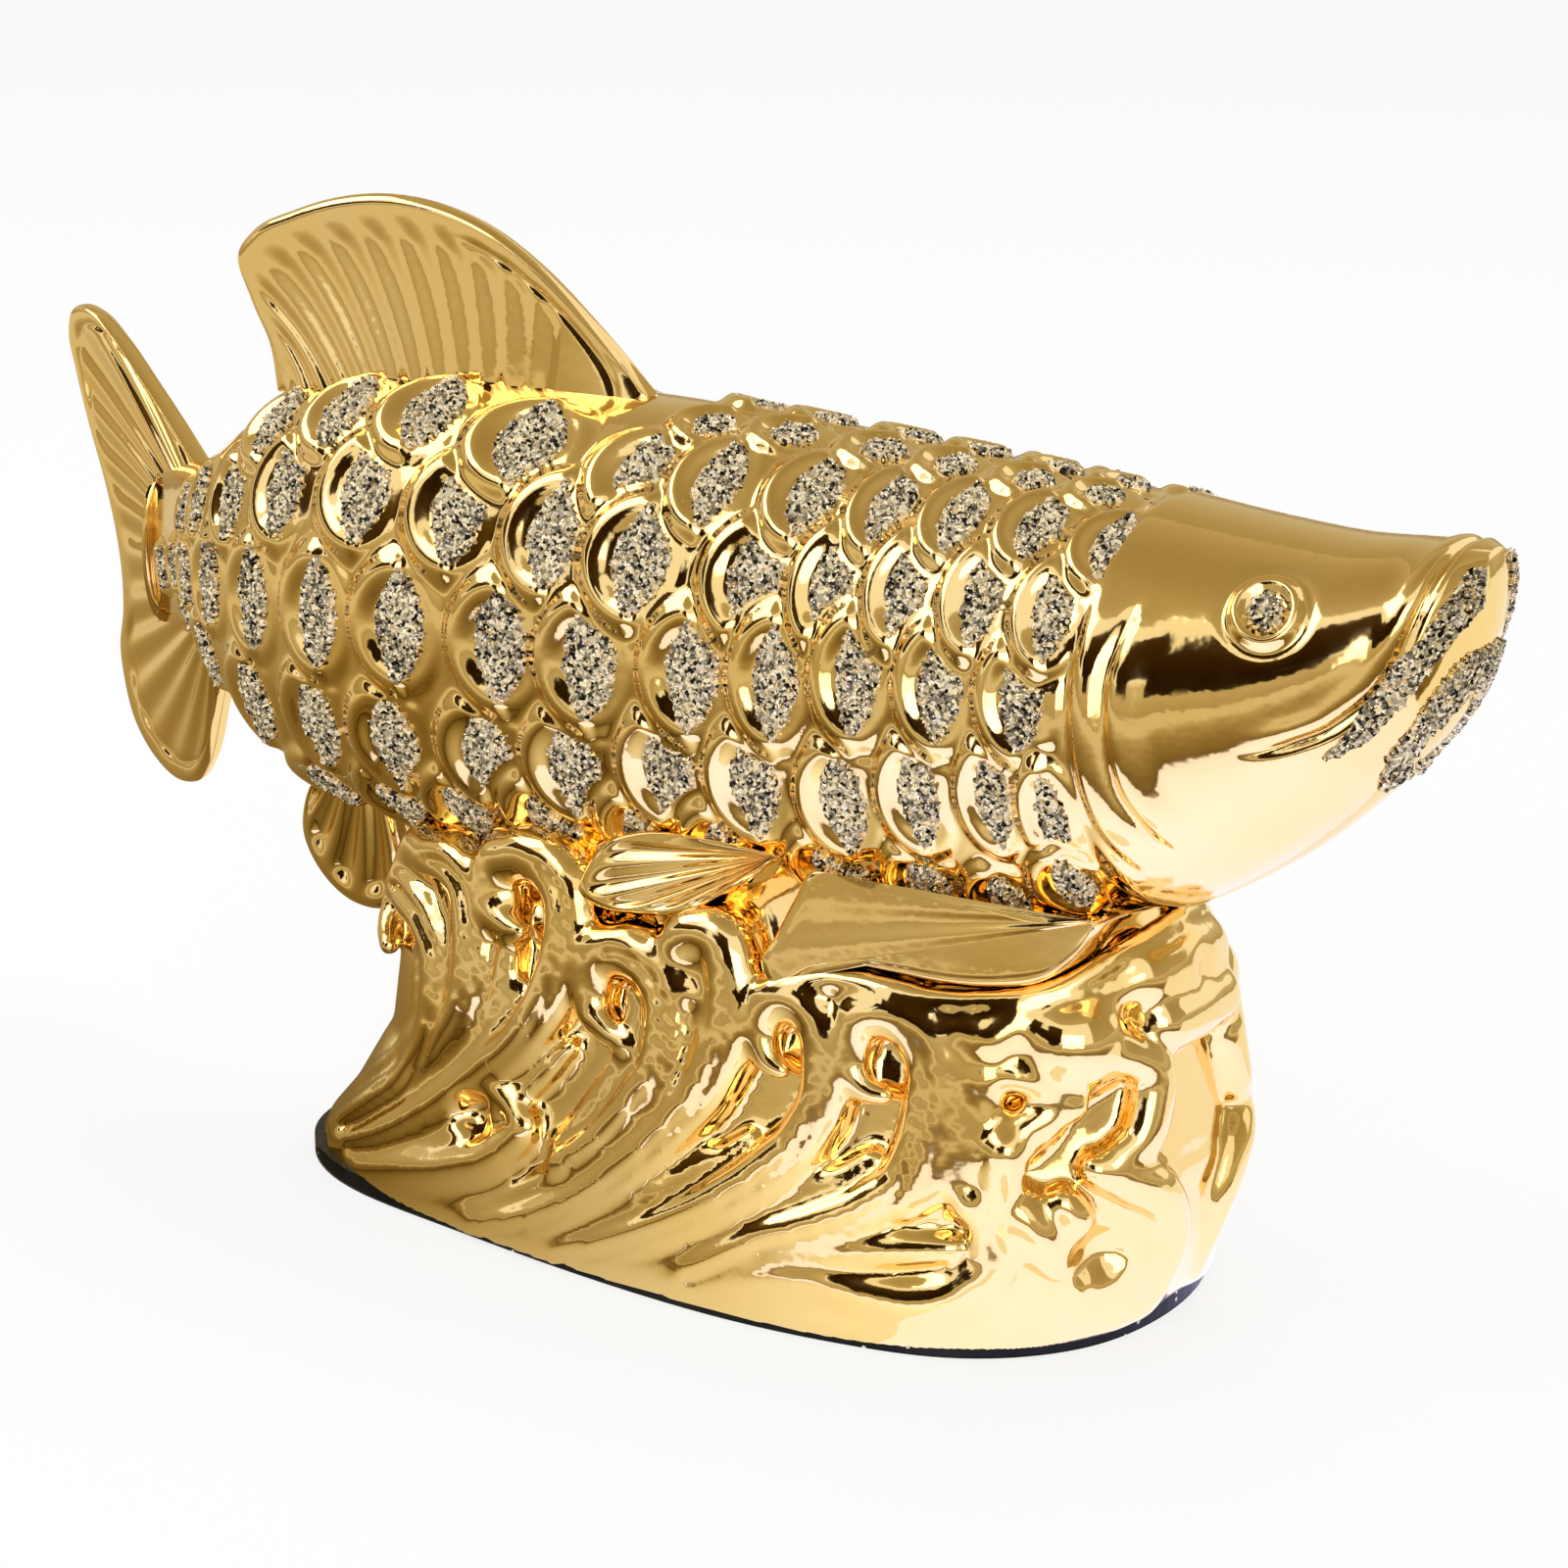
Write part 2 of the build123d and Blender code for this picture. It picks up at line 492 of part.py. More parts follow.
# Grit bands on the upper lip and the chin, cut apart at the middle of the mouth
for band, outline, rise in (("lip_grit", LIP_GRIT_SHARES, LIP_RISE), ("chin_grit", CHIN_GRIT_SHARES, 0)):
    for side, flank in FLANKS:
        with BuildPart() as mouth_grit:
            for x in STATION_PLACES:
                with BuildSketch(section_plane(x)):
                    with BuildLine():
                        Spline(*section_loop(x, rise + BAND_THICK), periodic=True)
                    make_face()
            loft()
            with BuildSketch(SIDE_VIEW.offset(MID_GAP * side)):
                with BuildLine():
                    Spline(*side_points(outline), periodic=True)
                make_face()
            extrude(amount=FISH_HALF_WIDTH * 2 * side, mode=Mode.INTERSECT)
            for x in STATION_PLACES:
                with BuildSketch(section_plane(x)):
                    with BuildLine():
                        Spline(*section_loop(x, rise), periodic=True)
                    make_face()
            loft(mode=Mode.SUBTRACT)
        mouth_grit.part.label = band + "_" + flank
        export_step(mouth_grit.part, "parts/" + band + "_" + flank + ".step")

# Dorsal fin: its place is the front of its foot, and it runs back from there
DORSAL_PLANE = Plane(
    origin=(fish_x(DORSAL_PLACE_SHARES[0]), 0, fish_z(DORSAL_PLACE_SHARES[1])),
    x_dir=(-1, 0, 0),
    z_dir=(0, 1, 0),
)
with BuildPart() as dorsal_fin:
    with BuildSketch(DORSAL_PLANE):
        edge = box_points(DORSAL_EDGE_SHARES, DORSAL_LENGTH, DORSAL_HEIGHT)
        foot = box_points(DORSAL_FOOT_SHARES, DORSAL_LENGTH, DORSAL_HEIGHT)
        with BuildLine():
            Spline(*edge)
            Polyline(edge[-1], *foot, edge[0])
        make_face()
    extrude(amount=DORSAL_THICK / 2, both=True)
    fillet(dorsal_fin.edges().filter_by(GeomType.BSPLINE), radius=RIM_RADIUS)
    for side, flank in FLANKS:
        with BuildSketch(DORSAL_PLANE.offset(side * (DORSAL_THICK / 2 - RAY_DEPTH))):
            rays = ray_fan(DORSAL_RAY_SHARES, DORSAL_RAYS, DORSAL_LENGTH, DORSAL_HEIGHT, DORSAL_BOW_SHARES)
            for near, far in rays:
                with BuildLine():
                    Spline(*near)
                    Spline(*far)
                    Line(near[0], far[0])
                    Line(near[-1], far[-1])
                make_face()
        extrude(amount=side * DORSAL_THICK, mode=Mode.SUBTRACT)
    add(fish_solid.part, mode=Mode.SUBTRACT)
dorsal_fin.part.label = "dorsal_fin"
export_step(dorsal_fin.part, "parts/dorsal_fin.step")

# Tail fin, in its own upright plane that swings away from the viewer
TAIL_TURN = math.radians(TAIL_ANGLE)
TAIL_PLANE = Plane(
    origin=(fish_x(TAIL_PLACE_SHARES[0]), TAIL_PLACE_SHARES[1] * TAIL_SWING, fish_z(TAIL_PLACE_SHARES[2])),
    x_dir=(-math.cos(TAIL_TURN), math.sin(TAIL_TURN), 0),
    z_dir=(math.sin(TAIL_TURN), math.cos(TAIL_TURN), 0),
)
with BuildPart() as tail_fin:
    with BuildSketch(TAIL_PLANE):
        edge = box_points(TAIL_EDGE_SHARES, TAIL_LENGTH, TAIL_HEIGHT)
        foot = box_points(TAIL_FOOT_SHARES, TAIL_LENGTH, TAIL_HEIGHT)
        with BuildLine():
            Spline(*edge)
            Polyline(edge[-1], *foot, edge[0])
        make_face()
    extrude(amount=TAIL_THICK / 2, both=True)
    fillet(tail_fin.edges().filter_by(GeomType.BSPLINE), radius=RIM_RADIUS)
    for side, flank in FLANKS:
        with BuildSketch(TAIL_PLANE.offset(side * (TAIL_THICK / 2 - RAY_DEPTH))):
            for fan_shares in (TAIL_UPPER_RAY_SHARES, TAIL_LOWER_RAY_SHARES):
                for near, far in ray_fan(fan_shares, TAIL_LOBE_RAYS, TAIL_LENGTH, TAIL_HEIGHT):
                    with BuildLine():
                        Spline(*near)
                        Spline(*far)
                        Line(near[0], far[0])
                        Line(near[-1], far[-1])
                    make_face()
        extrude(amount=side * TAIL_THICK, mode=Mode.SUBTRACT)
    add(fish_solid.part, mode=Mode.SUBTRACT)
tail_fin.part.label = "tail_fin"
export_step(tail_fin.part, "parts/tail_fin.step")

# Anal fin: its place is the front end of its box
ANAL_PLANE = Plane(
    origin=(fish_x(ANAL_PLACE_SHARES[0]), 0, fish_z(ANAL_PLACE_SHARES[1])),
    x_dir=(-1, 0, 0),
    z_dir=(0, 1, 0),
)
with BuildPart() as anal_fin:
    with BuildSketch(ANAL_PLANE):
        edge = box_points(ANAL_EDGE_SHARES, ANAL_LENGTH, ANAL_HEIGHT)
        foot = box_points(ANAL_FOOT_SHARES, ANAL_LENGTH, ANAL_HEIGHT)
        with BuildLine():
            Spline(*edge)
            Polyline(edge[-1], *foot, edge[0])
        make_face()
    extrude(amount=ANAL_THICK / 2, both=True)
    fillet(anal_fin.edges().filter_by(GeomType.BSPLINE), radius=RIM_RADIUS)
    for side, flank in FLANKS:
        with BuildSketch(ANAL_PLANE.offset(side * (ANAL_THICK / 2 - RAY_DEPTH))):
            for near, far in ray_fan(ANAL_RAY_SHARES, ANAL_RAYS, ANAL_LENGTH, ANAL_HEIGHT):
                with BuildLine():
                    Spline(*near)
                    Spline(*far)
                    Line(near[0], far[0])
                    Line(near[-1], far[-1])
                make_face()
        extrude(amount=side * ANAL_THICK, mode=Mode.SUBTRACT)
    add(fish_solid.part, mode=Mode.SUBTRACT)
anal_fin.part.label = "anal_fin"
export_step(anal_fin.part, "parts/anal_fin.step")


def paired_plane(place_shares, backward, outward):
    """Slanting plane of a paired fin on the right flank."""
    along, wide, up = place_shares
    return Plane(origin=(fish_x(along), wide * FISH_HALF_WIDTH, fish_z(up)), x_dir=backward, z_dir=outward)


# Paired fins: drawn on the right flank, mirrored for the left
with BuildPart() as pectoral_fin_right:
    with BuildSketch(paired_plane(PECTORAL_PLACE_SHARES, PECTORAL_BACKWARD, PECTORAL_OUTWARD)):
        edge = box_points(PECTORAL_EDGE_SHARES, PECTORAL_LENGTH, PECTORAL_DEPTH)
        foot = box_points(PECTORAL_FOOT_SHARES, PECTORAL_LENGTH, PECTORAL_DEPTH)
        with BuildLine():
            Spline(*edge)
            Polyline(edge[-1], *foot, edge[0])
        make_face()
    extrude(amount=PAIRED_THICK / 2, both=True)
    fillet(pectoral_fin_right.edges().filter_by(GeomType.BSPLINE), radius=PAIRED_RIM_RADIUS)
    add(fish_solid.part, mode=Mode.SUBTRACT)
    add(low_grit.part, mode=Mode.SUBTRACT)
pectoral_fin_right.part.label = "pectoral_fin_right"
export_step(pectoral_fin_right.part, "parts/pectoral_fin_right.step")

with BuildPart() as pelvic_fin_right:
    with BuildSketch(paired_plane(PELVIC_PLACE_SHARES, PELVIC_BACKWARD, PELVIC_OUTWARD)):
        edge = box_points(PELVIC_EDGE_SHARES, PELVIC_LENGTH, PELVIC_DEPTH)
        foot = box_points(PELVIC_FOOT_SHARES, PELVIC_LENGTH, PELVIC_DEPTH)
        with BuildLine():
            Spline(*edge)
            Polyline(edge[-1], *foot, edge[0])
        make_face()
    extrude(amount=PAIRED_THICK / 2, both=True)
    fillet(pelvic_fin_right.edges().filter_by(GeomType.BSPLINE), radius=PAIRED_RIM_RADIUS)
    add(fish_solid.part, mode=Mode.SUBTRACT)
    add(low_grit.part, mode=Mode.SUBTRACT)
pelvic_fin_right.part.label = "pelvic_fin_right"
export_step(pelvic_fin_right.part, "parts/pelvic_fin_right.step")

with BuildPart() as pectoral_fin_left:
    add(pectoral_fin_right.part)
    mirror(about=Plane.XZ, mode=Mode.REPLACE)
pectoral_fin_left.part.label = "pectoral_fin_left"
export_step(pectoral_fin_left.part, "parts/pectoral_fin_left.step")

with BuildPart() as pelvic_fin_left:
    add(pelvic_fin_right.part)
    mirror(about=Plane.XZ, mode=Mode.REPLACE)
pelvic_fin_left.part.label = "pelvic_fin_left"
export_step(pelvic_fin_left.part, "parts/pelvic_fin_left.step")

# Sole pad under the base
with BuildPart() as base_sole:
    with BuildSketch(Plane.XY):
        with BuildLine():
            Spline(*loop_points(SOLE_SHARES), periodic=True)
        make_face()
    extrude(amount=SOLE_THICK)
base_sole.part.label = "base_sole"
export_step(base_sole.part, "parts/base_sole.step")

# Curling crests of the right flank, each in its own leaning plane and rounded in steps
with BuildPart() as wave_crests:
    lean = math.radians(CREST_LEAN)
    for turn, spine_shares in CREST_SHARES:
        turn = math.radians(turn)
        places = [Vector(along * BASE_LENGTH, wide * BASE_HALF_WIDTH, base_z(up))
                  for along, wide, up, half in spine_shares]
        outward = (math.sin(turn) * math.cos(lean), -math.cos(turn) * math.cos(lean), math.sin(lean))
        crest_plane = Plane(origin=sum(places, Vector()) / len(places),
                            x_dir=(math.cos(turn), math.sin(turn), 0), z_dir=outward)
        spine = [tuple(crest_plane.to_local_coords(place))[:2] for place in places]
        for width_share, rise_share, depth_share in CREST_STEP_SHARES:
            halves = [half * width_share * CREST_HALF_WIDTH for along, wide, up, half in spine_shares]
            with BuildSketch(crest_plane.offset(rise_share * CREST_RISE)):
                with BuildLine():
                    Spline(*crest_loop(spine, halves), periodic=True)
                make_face()
            extrude(amount=-depth_share * CREST_RISE)

# Wave base: a hollow foot, crests and foam lumps on both flanks, cut to seat the fish
with BuildPart() as wave_base:
    for level, outline in LEVEL_SHARES:
        with BuildSketch(Plane.XY.offset(base_z(level))):
            with BuildLine():
                Spline(*loop_points(outline), periodic=True)
            make_face()
    loft()
    add(wave_crests.part)
    mirror(wave_crests.part, about=Plane.XZ)
    for along, wide, up, radius in LUMP_SHARES:
        here = (along * BASE_LENGTH, wide * BASE_HALF_WIDTH, base_z(up))
        with Locations(here, (here[0], -here[1], here[2])):
            Sphere(radius * LUMP_RADIUS)
    split(bisect_by=Plane.XY.offset(SOLE_THICK), keep=Keep.TOP)
    for level, outline in LEVEL_SHARES[:LEVELS_IN_CAVITY]:
        with BuildSketch(Plane.XY.offset(base_z(level) + BASE_WALL)):
            with BuildLine():
                Spline(*loop_points(outline, BASE_WALL), periodic=True)
            make_face()
    loft(mode=Mode.SUBTRACT)
    with BuildSketch(Plane.XY.offset(SOLE_THICK)):
        Circle(VENT_RADIUS)
    extrude(amount=BASE_WALL * 2, mode=Mode.SUBTRACT)
    add(fish_solid.part, mode=Mode.SUBTRACT)
    add(low_grit.part, mode=Mode.SUBTRACT)
    add(anal_fin.part, mode=Mode.SUBTRACT)
    add(pelvic_fin_right.part, mode=Mode.SUBTRACT)
    add(pelvic_fin_left.part, mode=Mode.SUBTRACT)
    add(pectoral_fin_right.part, mode=Mode.SUBTRACT)
    add(pectoral_fin_left.part, mode=Mode.SUBTRACT)
    add(wave_base.solids().sort_by(SortBy.VOLUME)[-1], mode=Mode.REPLACE)
wave_base.part.label = "wave_base"
export_step(wave_base.part, "parts/wave_base.step")
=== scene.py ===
"""Dragon-fish figurine in mirror gold on a wave base, with crushed glass in its scales."""

import math

import bpy
import numpy as np
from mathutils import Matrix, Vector


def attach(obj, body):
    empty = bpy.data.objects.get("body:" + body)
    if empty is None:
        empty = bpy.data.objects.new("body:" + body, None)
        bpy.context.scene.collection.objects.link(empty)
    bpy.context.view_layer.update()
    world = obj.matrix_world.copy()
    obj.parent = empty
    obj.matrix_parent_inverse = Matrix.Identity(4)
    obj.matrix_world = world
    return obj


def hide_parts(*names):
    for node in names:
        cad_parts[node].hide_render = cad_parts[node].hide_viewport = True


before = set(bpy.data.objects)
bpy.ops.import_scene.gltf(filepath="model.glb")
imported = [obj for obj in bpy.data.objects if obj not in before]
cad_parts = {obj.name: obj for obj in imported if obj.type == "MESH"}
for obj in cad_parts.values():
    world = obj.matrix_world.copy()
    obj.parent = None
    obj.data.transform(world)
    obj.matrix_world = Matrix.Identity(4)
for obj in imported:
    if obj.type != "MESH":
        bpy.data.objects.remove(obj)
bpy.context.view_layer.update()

bl_info = {
    "name": "Gold Fish Figurine",
    "version": (1, 0, 0),
    "blender": (4, 5, 0),
    "location": "View3D > Sidebar > Figurine",
    "description": "Builds the plated fish, its grit, its fins and its wave base round the packed frame",
    "category": "Object",
}

MM = 0.001
BODY = "root"
FLANKS = ((1, "right"), (-1, "left"))

# Fish stations in millimetres: x, sideways swing, top, bottom, half width, share of the widest line
STATIONS = np.array([
    (-176.0, 28.0, 124.5, 86.0, 6.0, 0.50),
    (-164.0, 23.5, 127.5, 86.5, 9.5, 0.50),
    (-151.0, 18.0, 132.0, 88.0, 13.0, 0.50),
    (-138.0, 12.5, 139.0, 83.0, 18.0, 0.50),
    (-124.0, 7.5, 147.5, 76.0, 23.5, 0.50),
    (-108.0, 3.8, 154.5, 70.0, 28.5, 0.50),
    (-88.0, 1.2, 158.5, 67.0, 32.5, 0.50),
    (-60.0, 0.0, 160.5, 65.5, 34.5, 0.50),
    (-30.0, 0.0, 161.0, 65.0, 36.0, 0.50),
    (0.0, 0.0, 160.0, 65.5, 36.5, 0.50),
    (30.0, 0.0, 158.5, 67.0, 36.5, 0.50),
    (60.0, 0.0, 156.5, 71.0, 36.0, 0.50),
    (80.0, 0.0, 154.8, 76.5, 34.5, 0.50),
    (100.0, 0.0, 153.0, 86.5, 31.0, 0.50),
    (117.0, 0.0, 152.3, 99.0, 26.0, 0.52),
    (130.0, 0.0, 153.2, 112.5, 20.0, 0.56),
    (139.0, 0.0, 154.0, 126.0, 13.5, 0.62),
    (143.5, 0.0, 153.0, 138.5, 5.5, 0.60),
])
SECTION_POWER = 2.15
FULL_DEPTH = 92.0
TAIL_END, SNOUT_END = STATIONS[0, 0], STATIONS[-1, 0]

# Scales of one flank: row, half height of the scale and of its grit, then (x, angle down from the ridge)
SCALE_ROWS = [
    (0, 9.0, 5.2, [(71, 8), (57, 9), (41, 10), (26, 10), (7, 11), (-9, 15)]),
    (1, 14.0, 10.4, [(80, 31), (65, 29), (50, 31), (36, 33), (20, 34), (0, 36), (-16, 39), (-44, 34), (-70, 27),
                    (-91, 29), (-110, 33)]),
    (2, 15.5, 11.4, [(74, 54), (60, 53), (45, 54), (30, 57), (14, 59), (-11, 60), (-31, 58), (-54, 56),
                     (-77, 54), (-98, 56), (-115, 60), (-131, 60), (-145, 62)]),
    (3, 16.0, 12.0, [(71, 77), (55, 76), (38, 77), (21, 81), (3, 83), (-20, 85), (-41, 85), (-65, 85),
                     (-85, 86), (-104, 87), (-121, 88), (-138, 92), (-152, 96), (-163, 98)]),
    (4, 15.5, 11.4, [(77, 108), (66, 103), (51, 104), (35, 108), (16, 107), (-3, 108), (-25, 112), (-46, 114),
                     (-69, 116), (-88, 116), (-108, 119), (-128, 118), (-144, 124)]),
    (5, 13.5, 9.0, [(78, 132), (64, 137), (49, 131), (31, 129), (8, 127), (-11, 127), (-34, 129), (-56, 134),
                    (-74, 137), (-96, 147)]),
]
SCALE_REACH, SCALE_FRONT = 13.5, 11.0
SCALE_PITCH = 20.0
SCALES_END = (84, 96)
# Relief by the depth inside a scale's rim: where the rim rises, where the pocket falls, and its share of the relief
RIM_RISE, POCKET_FALL, POCKET_SHARE = (-0.4, 4.0), (3.6, 8.6), 0.72
# Crease round the grit: depth, place inside the rim, width
CREASE, CREASE_PLACE, CREASE_WIDTH = 0.3, 7.6, 0.9
LENS_HALF, LENS_STRETCH = 6.2, 1.05
# Part of the fish that a scale may touch, and where it runs under the scale before it, both towards the head
SCALE_WINDOW, SCALE_HIDDEN = (-20, 18), (-10.5, -5.5)
# Where the skin goes over into a scale, by the depth inside its rim, and where grit may lie
SCALE_COVER, GRIT_DEPTH, GRIT_BACK = (0, 0.8), 0.3, -10
# Fall of a scale's hidden part per millimetre, and the least share of the relief where the fish is slender
HIDDEN_FALL, SLENDER_SHARE = 0.05, 0.35
# Ways along the normal under which a place is on the other side of the fish
FAR_SIDE, FAR_SIDE_EYE = -14, -8
# Rounded snout, by its rings and its length, and blunt tail end, by its offset and its share of the section
SNOUT_RINGS, SNOUT_CAP = (0.35, 0.65, 0.85, 0.96), 1.6
TAIL_CAP, TAIL_SHARE = (-1.5, 0.6, 0), 0.5

# Lines on the head, drawn in the side view (x, z)
GILL_EDGE = [(105, 76), (95, 79), (87, 86), (84.5, 92.5), (82.5, 102.4), (81, 111.5), (80, 120), (79, 130), (78, 139.5),
             (78, 148.2), (80, 162)]
GILL_LINES = [
    [(83.5, 146), (82, 141.7), (81.2, 135), (80.4, 129.4), (80.4, 123.8), (81, 118.7), (82.2, 112.3), (84.2, 106.8),
     (86.6, 101.5), (89.4, 97), (93, 93)],
    [(92, 144), (90, 139.7), (88.8, 135), (87.8, 130.2), (87.8, 124.7), (88.4, 119.7), (89.4, 114.5), (90.9, 109.8),
     (93.9, 105), (97.1, 100.8), (101, 97.5)],
]
MOUTH_LINE = [(139.6, 156), (138.7, 152.5), (138, 148.7), (136.7, 143.2), (135.3, 138.7), (133.4, 134), (131.1, 130.2),
              (128.5, 127.4), (124.5, 123.9), (119.7, 121.5), (114.9, 119.6), (109, 118.5)]
LIP_BAND = ([(121.5, 118.6), (124.5, 121.4), (130.2, 130.2), (133.6, 135.5), (137.5, 142.4), (140.2, 148.5),
             (141.5, 152.3)],
            [(121.5, 118.2), (125.3, 119.3), (130.2, 122.8), (134.6, 128.3), (138.5, 135.1), (141.7, 141.4),
             (144.4, 146.3), (145.6, 151)])
CHIN_BAND = ([(126.5, 109.5), (127.7, 111.9), (130.9, 118.4), (135.1, 125), (139.2, 132.9), (142.2, 137.4)],
             [(126.6, 108.8), (130.4, 112.6), (133.4, 117.5), (138.2, 124.5), (141.2, 130.5), (143.2, 137)])
EYE_X, EYE_ANGLE = 111.8, 50.0
EYE_RING, EYE_GRIT = 5.3, 4.0
# Points on a drawn line, and how far from it a place is still measured
LINE_POINTS, LINE_REACH = 60, 15
# Heights and depths on the head: cheek, gill fold and its groove, lip, its roll and its crease, eye ring and its dip
CHEEK, GILL_FOLD, GILL_GROOVE = 0.25, 1.05, 0.65
LIP_FOLD, LIP_ROLL, LIP_CREASE = 0.8, 0.4, 0.9
EYE_RIM, EYE_DIP = 1.5, 0.3

# Wave strokes of one flank, in the side view of the base: x, z, radius
STROKES = {
    "crest_1": [(-79, 47, 2.2), (-83, 50, 3), (-83, 55, 4), (-78, 59, 4.5), (-71, 59, 5), (-63, 55, 5.5),
                (-59, 49, 5.5), (-59, 40, 5), (-64, 28, 4.5), (-74, 18, 4), (-88, 8, 3)],
    "crest_2": [(-68, 56, 2.2), (-73, 57, 3), (-76, 61, 4), (-74, 65, 5), (-66, 68, 5.5), (-57, 68, 6),
                (-52, 64, 6), (-50, 56, 6), (-50, 47, 5.5), (-55, 36, 5), (-65, 25, 4.5), (-79, 15, 4),
                (-91, 7, 3)],
    "crest_3": [(-38, 61, 2.2), (-44, 62, 3.2), (-47, 65, 4.2), (-47, 70, 5), (-42, 74, 5.5), (-35, 75, 6),
                (-30, 73, 6.5), (-26, 67, 6.5), (-26, 60, 6), (-28, 52, 6), (-33, 43, 5.5), (-43, 33, 5),
                (-55, 23, 4.5), (-70, 13, 4), (-88, 5, 3)],
    "leaf": [(-78, 3, 2.5), (-63, 8, 4.5), (-48, 13, 5), (-37, 19, 4.5), (-32, 25, 3.5), (-35, 28, 3),
             (-40, 30, 2.2)],
    "crest_4": [(-9, 46, 2), (-15, 48, 3.2), (-19, 53, 4.2), (-19, 58, 5), (-14, 62, 5.5), (-8, 62, 6),
                (-3, 59, 6), (0, 53, 6), (0, 45, 6), (-4, 37, 5.5), (-10, 29, 5), (-17, 23, 4), (-22, 20, 3)],
    "crest_5": [(6, 58, 2), (1, 60, 3), (-1, 64, 4), (1, 67, 5), (6, 69, 5.5), (11, 67, 6), (13, 62, 6),
                (14, 54, 6), (11, 44, 6), (5, 35, 5.5), (-4, 25, 5), (-16, 15, 4.5), (-30, 7, 4), (-45, 1, 3)],
    "crest_6": [(26, 48, 2), (22, 50, 3), (20, 55, 4), (22, 59, 4.8), (27, 61, 5.2), (31, 59, 5.5), (34, 54, 5.5),
                (35, 46, 5.5), (32, 37, 5.5), (26, 30, 5.5), (16, 22, 5), (3, 14, 4.5), (-10, 7, 4), (-25, 0, 3)],
    "crest_7": [(47, 47, 2), (42, 48, 3), (39, 52, 4), (39, 57, 4.8), (43, 61, 5.2), (48, 61, 5.5), (52, 58, 5.5),
                (55, 52, 5.5), (55, 43, 5.5), (53, 34, 5.5), (47, 27, 5.5), (38, 22, 5), (25, 16, 4.5),
                (13, 8, 3.5), (6, 4, 2.5)],
    "rim": [(20, 61, 2), (29, 65, 2.6), (36, 66, 2.6), (45, 66, 2.6), (54, 65, 2.6), (65, 66, 2.6), (75, 68.5, 2.6),
            (81, 73, 2.4), (86, 79, 2)],
    "band": [(38, 62, 2), (50, 60, 2.8), (62, 60.5, 3), (74, 62.5, 3), (84, 69, 3), (88, 76, 3)],
    "rib_1": [(53, 62, 3), (57, 58, 3.5), (60, 52, 3.5), (61, 43, 3.5), (59, 34, 3), (54, 27, 2)],
    "rib_2": [(60, 61, 3), (63, 55, 3.5), (65, 47, 3.5), (64, 38, 3), (62, 32, 2.5)],
    "tongue": [(7, 3, 2), (22, 8, 3.5), (36, 11, 4.5), (49, 10, 5.5), (57, 10, 6), (64, 14, 5.5), (68, 20, 4),
               (67, 25, 3)],
    "tongue_top": [(19, 11, 1.8), (40, 17, 3), (54, 20, 3.5), (62, 21, 2.5)],
    "curl_1": [(64, 52, 3), (70, 53, 4), (75, 51, 4), (79, 48, 3)],
    "curl_2": [(67, 36, 2), (69, 40, 4.5), (73, 44, 4.5), (78, 47, 2.5)],
    "curl_3": [(85, 56, 4), (88, 50, 4.5), (88, 43, 4.5), (86, 38, 3.5)],
    "ring": [(83, 36, 3.5), (87, 33, 5), (90, 27, 4.5), (89, 18, 4), (85, 8, 4), (83, 5, 3.5), (79, 6, 2.5)],
    "ring_inner": [(79, 30, 3.5), (81, 24, 3.5), (81, 16, 3), (79, 8, 2)],
    "drop": [(72, 27, 6), (75, 23, 5.5), (78, 18, 3)],
    "arc": [(67, 27, 2.2), (71, 22, 2.4), (71, 17, 2)],
    "ball": [(64, 29, 3.6), (64, 29.5, 3.6)],
    "foam_1": [(65, 59, 5.5), (69, 63, 4)],
    "foam_2": [(75, 58, 10), (76, 58, 10)],
    "foam_3": [(83, 68, 7), (84, 68, 7)],
    "foam_4": [(87, 60, 6), (88, 60, 6)],
}
# Folds beside each crest's stem: distance, width and depth beside the stem's radius
FOLDS = [(1.45, 0.75, 1.4), (-1.35, 0.6, 2.0)]
# Hollows between the waves: x, z, radius
HOLLOWS = [(-46, 24, 4), (86, 19, 6)]
# Outer flank of the waves and the core behind it, by height: z, reach to the tail, reach to the head, half width
FLANK = np.array([(3.6, 104, 86.5, 49), (10, 101, 89, 49), (20, 94, 93, 48), (30, 90, 95, 46), (45, 90, 94, 43),
                  (60, 86, 92, 40), (75, 80, 86, 37), (86, 70, 78, 32)])
CORE = np.array([(1, 102.5, 85, 49.6), (4, 103, 86.5, 49.8), (8, 101, 88, 48.8), (15, 95, 90, 46), (30, 86, 91, 41.3),
                 (45, 85, 89, 37), (60, 82, 86, 32), (74, 78, 80, 27), (86, 68, 72, 22)])
WIDEST = 20.0
# Powers of the base's outline, and of its rounding, towards the tail and towards the head
OUTLINE_POWERS, ROUND_POWERS = (2.0, 2.2), (0.333, 0.385)
BASE_FLOOR, WAVE_TOP = 1.2, 86
# How far past the base's ends its outline goes on, and how far round a tube its distance is known
PAST_END, TUBE_PAD = 1.2, 5
# Box of the waves' grid by its ends, half width and top, and how many times its surface is evened out
FIELD_BOX = ((-108, 100), 52, 90)
EVENING = 10
# Widths over which strokes, webs, grooves and hollows run into the rest
STROKE_JOIN, WEB_JOIN, GROOVE_JOIN, HOLLOW_JOIN = 1.6, 2.0, 1.2, 3.0
# Webs behind the crests: how far behind, and share of the crest's radius
WEB_BACK, WEB_SHARE = 7, 0.8
# Grooves along the crests: radius, and places aside and outwards as shares of the crest's radius
GROOVE, GROOVE_ASIDE, GROOVE_OUT = 0.9, 0.15, 0.99


def smooth(value, low, high):
    """0 below low, 1 above high, and an even curve between them."""
    t = np.clip((value - low) / (high - low), 0, 1)
    return t * t * (3 - 2 * t)


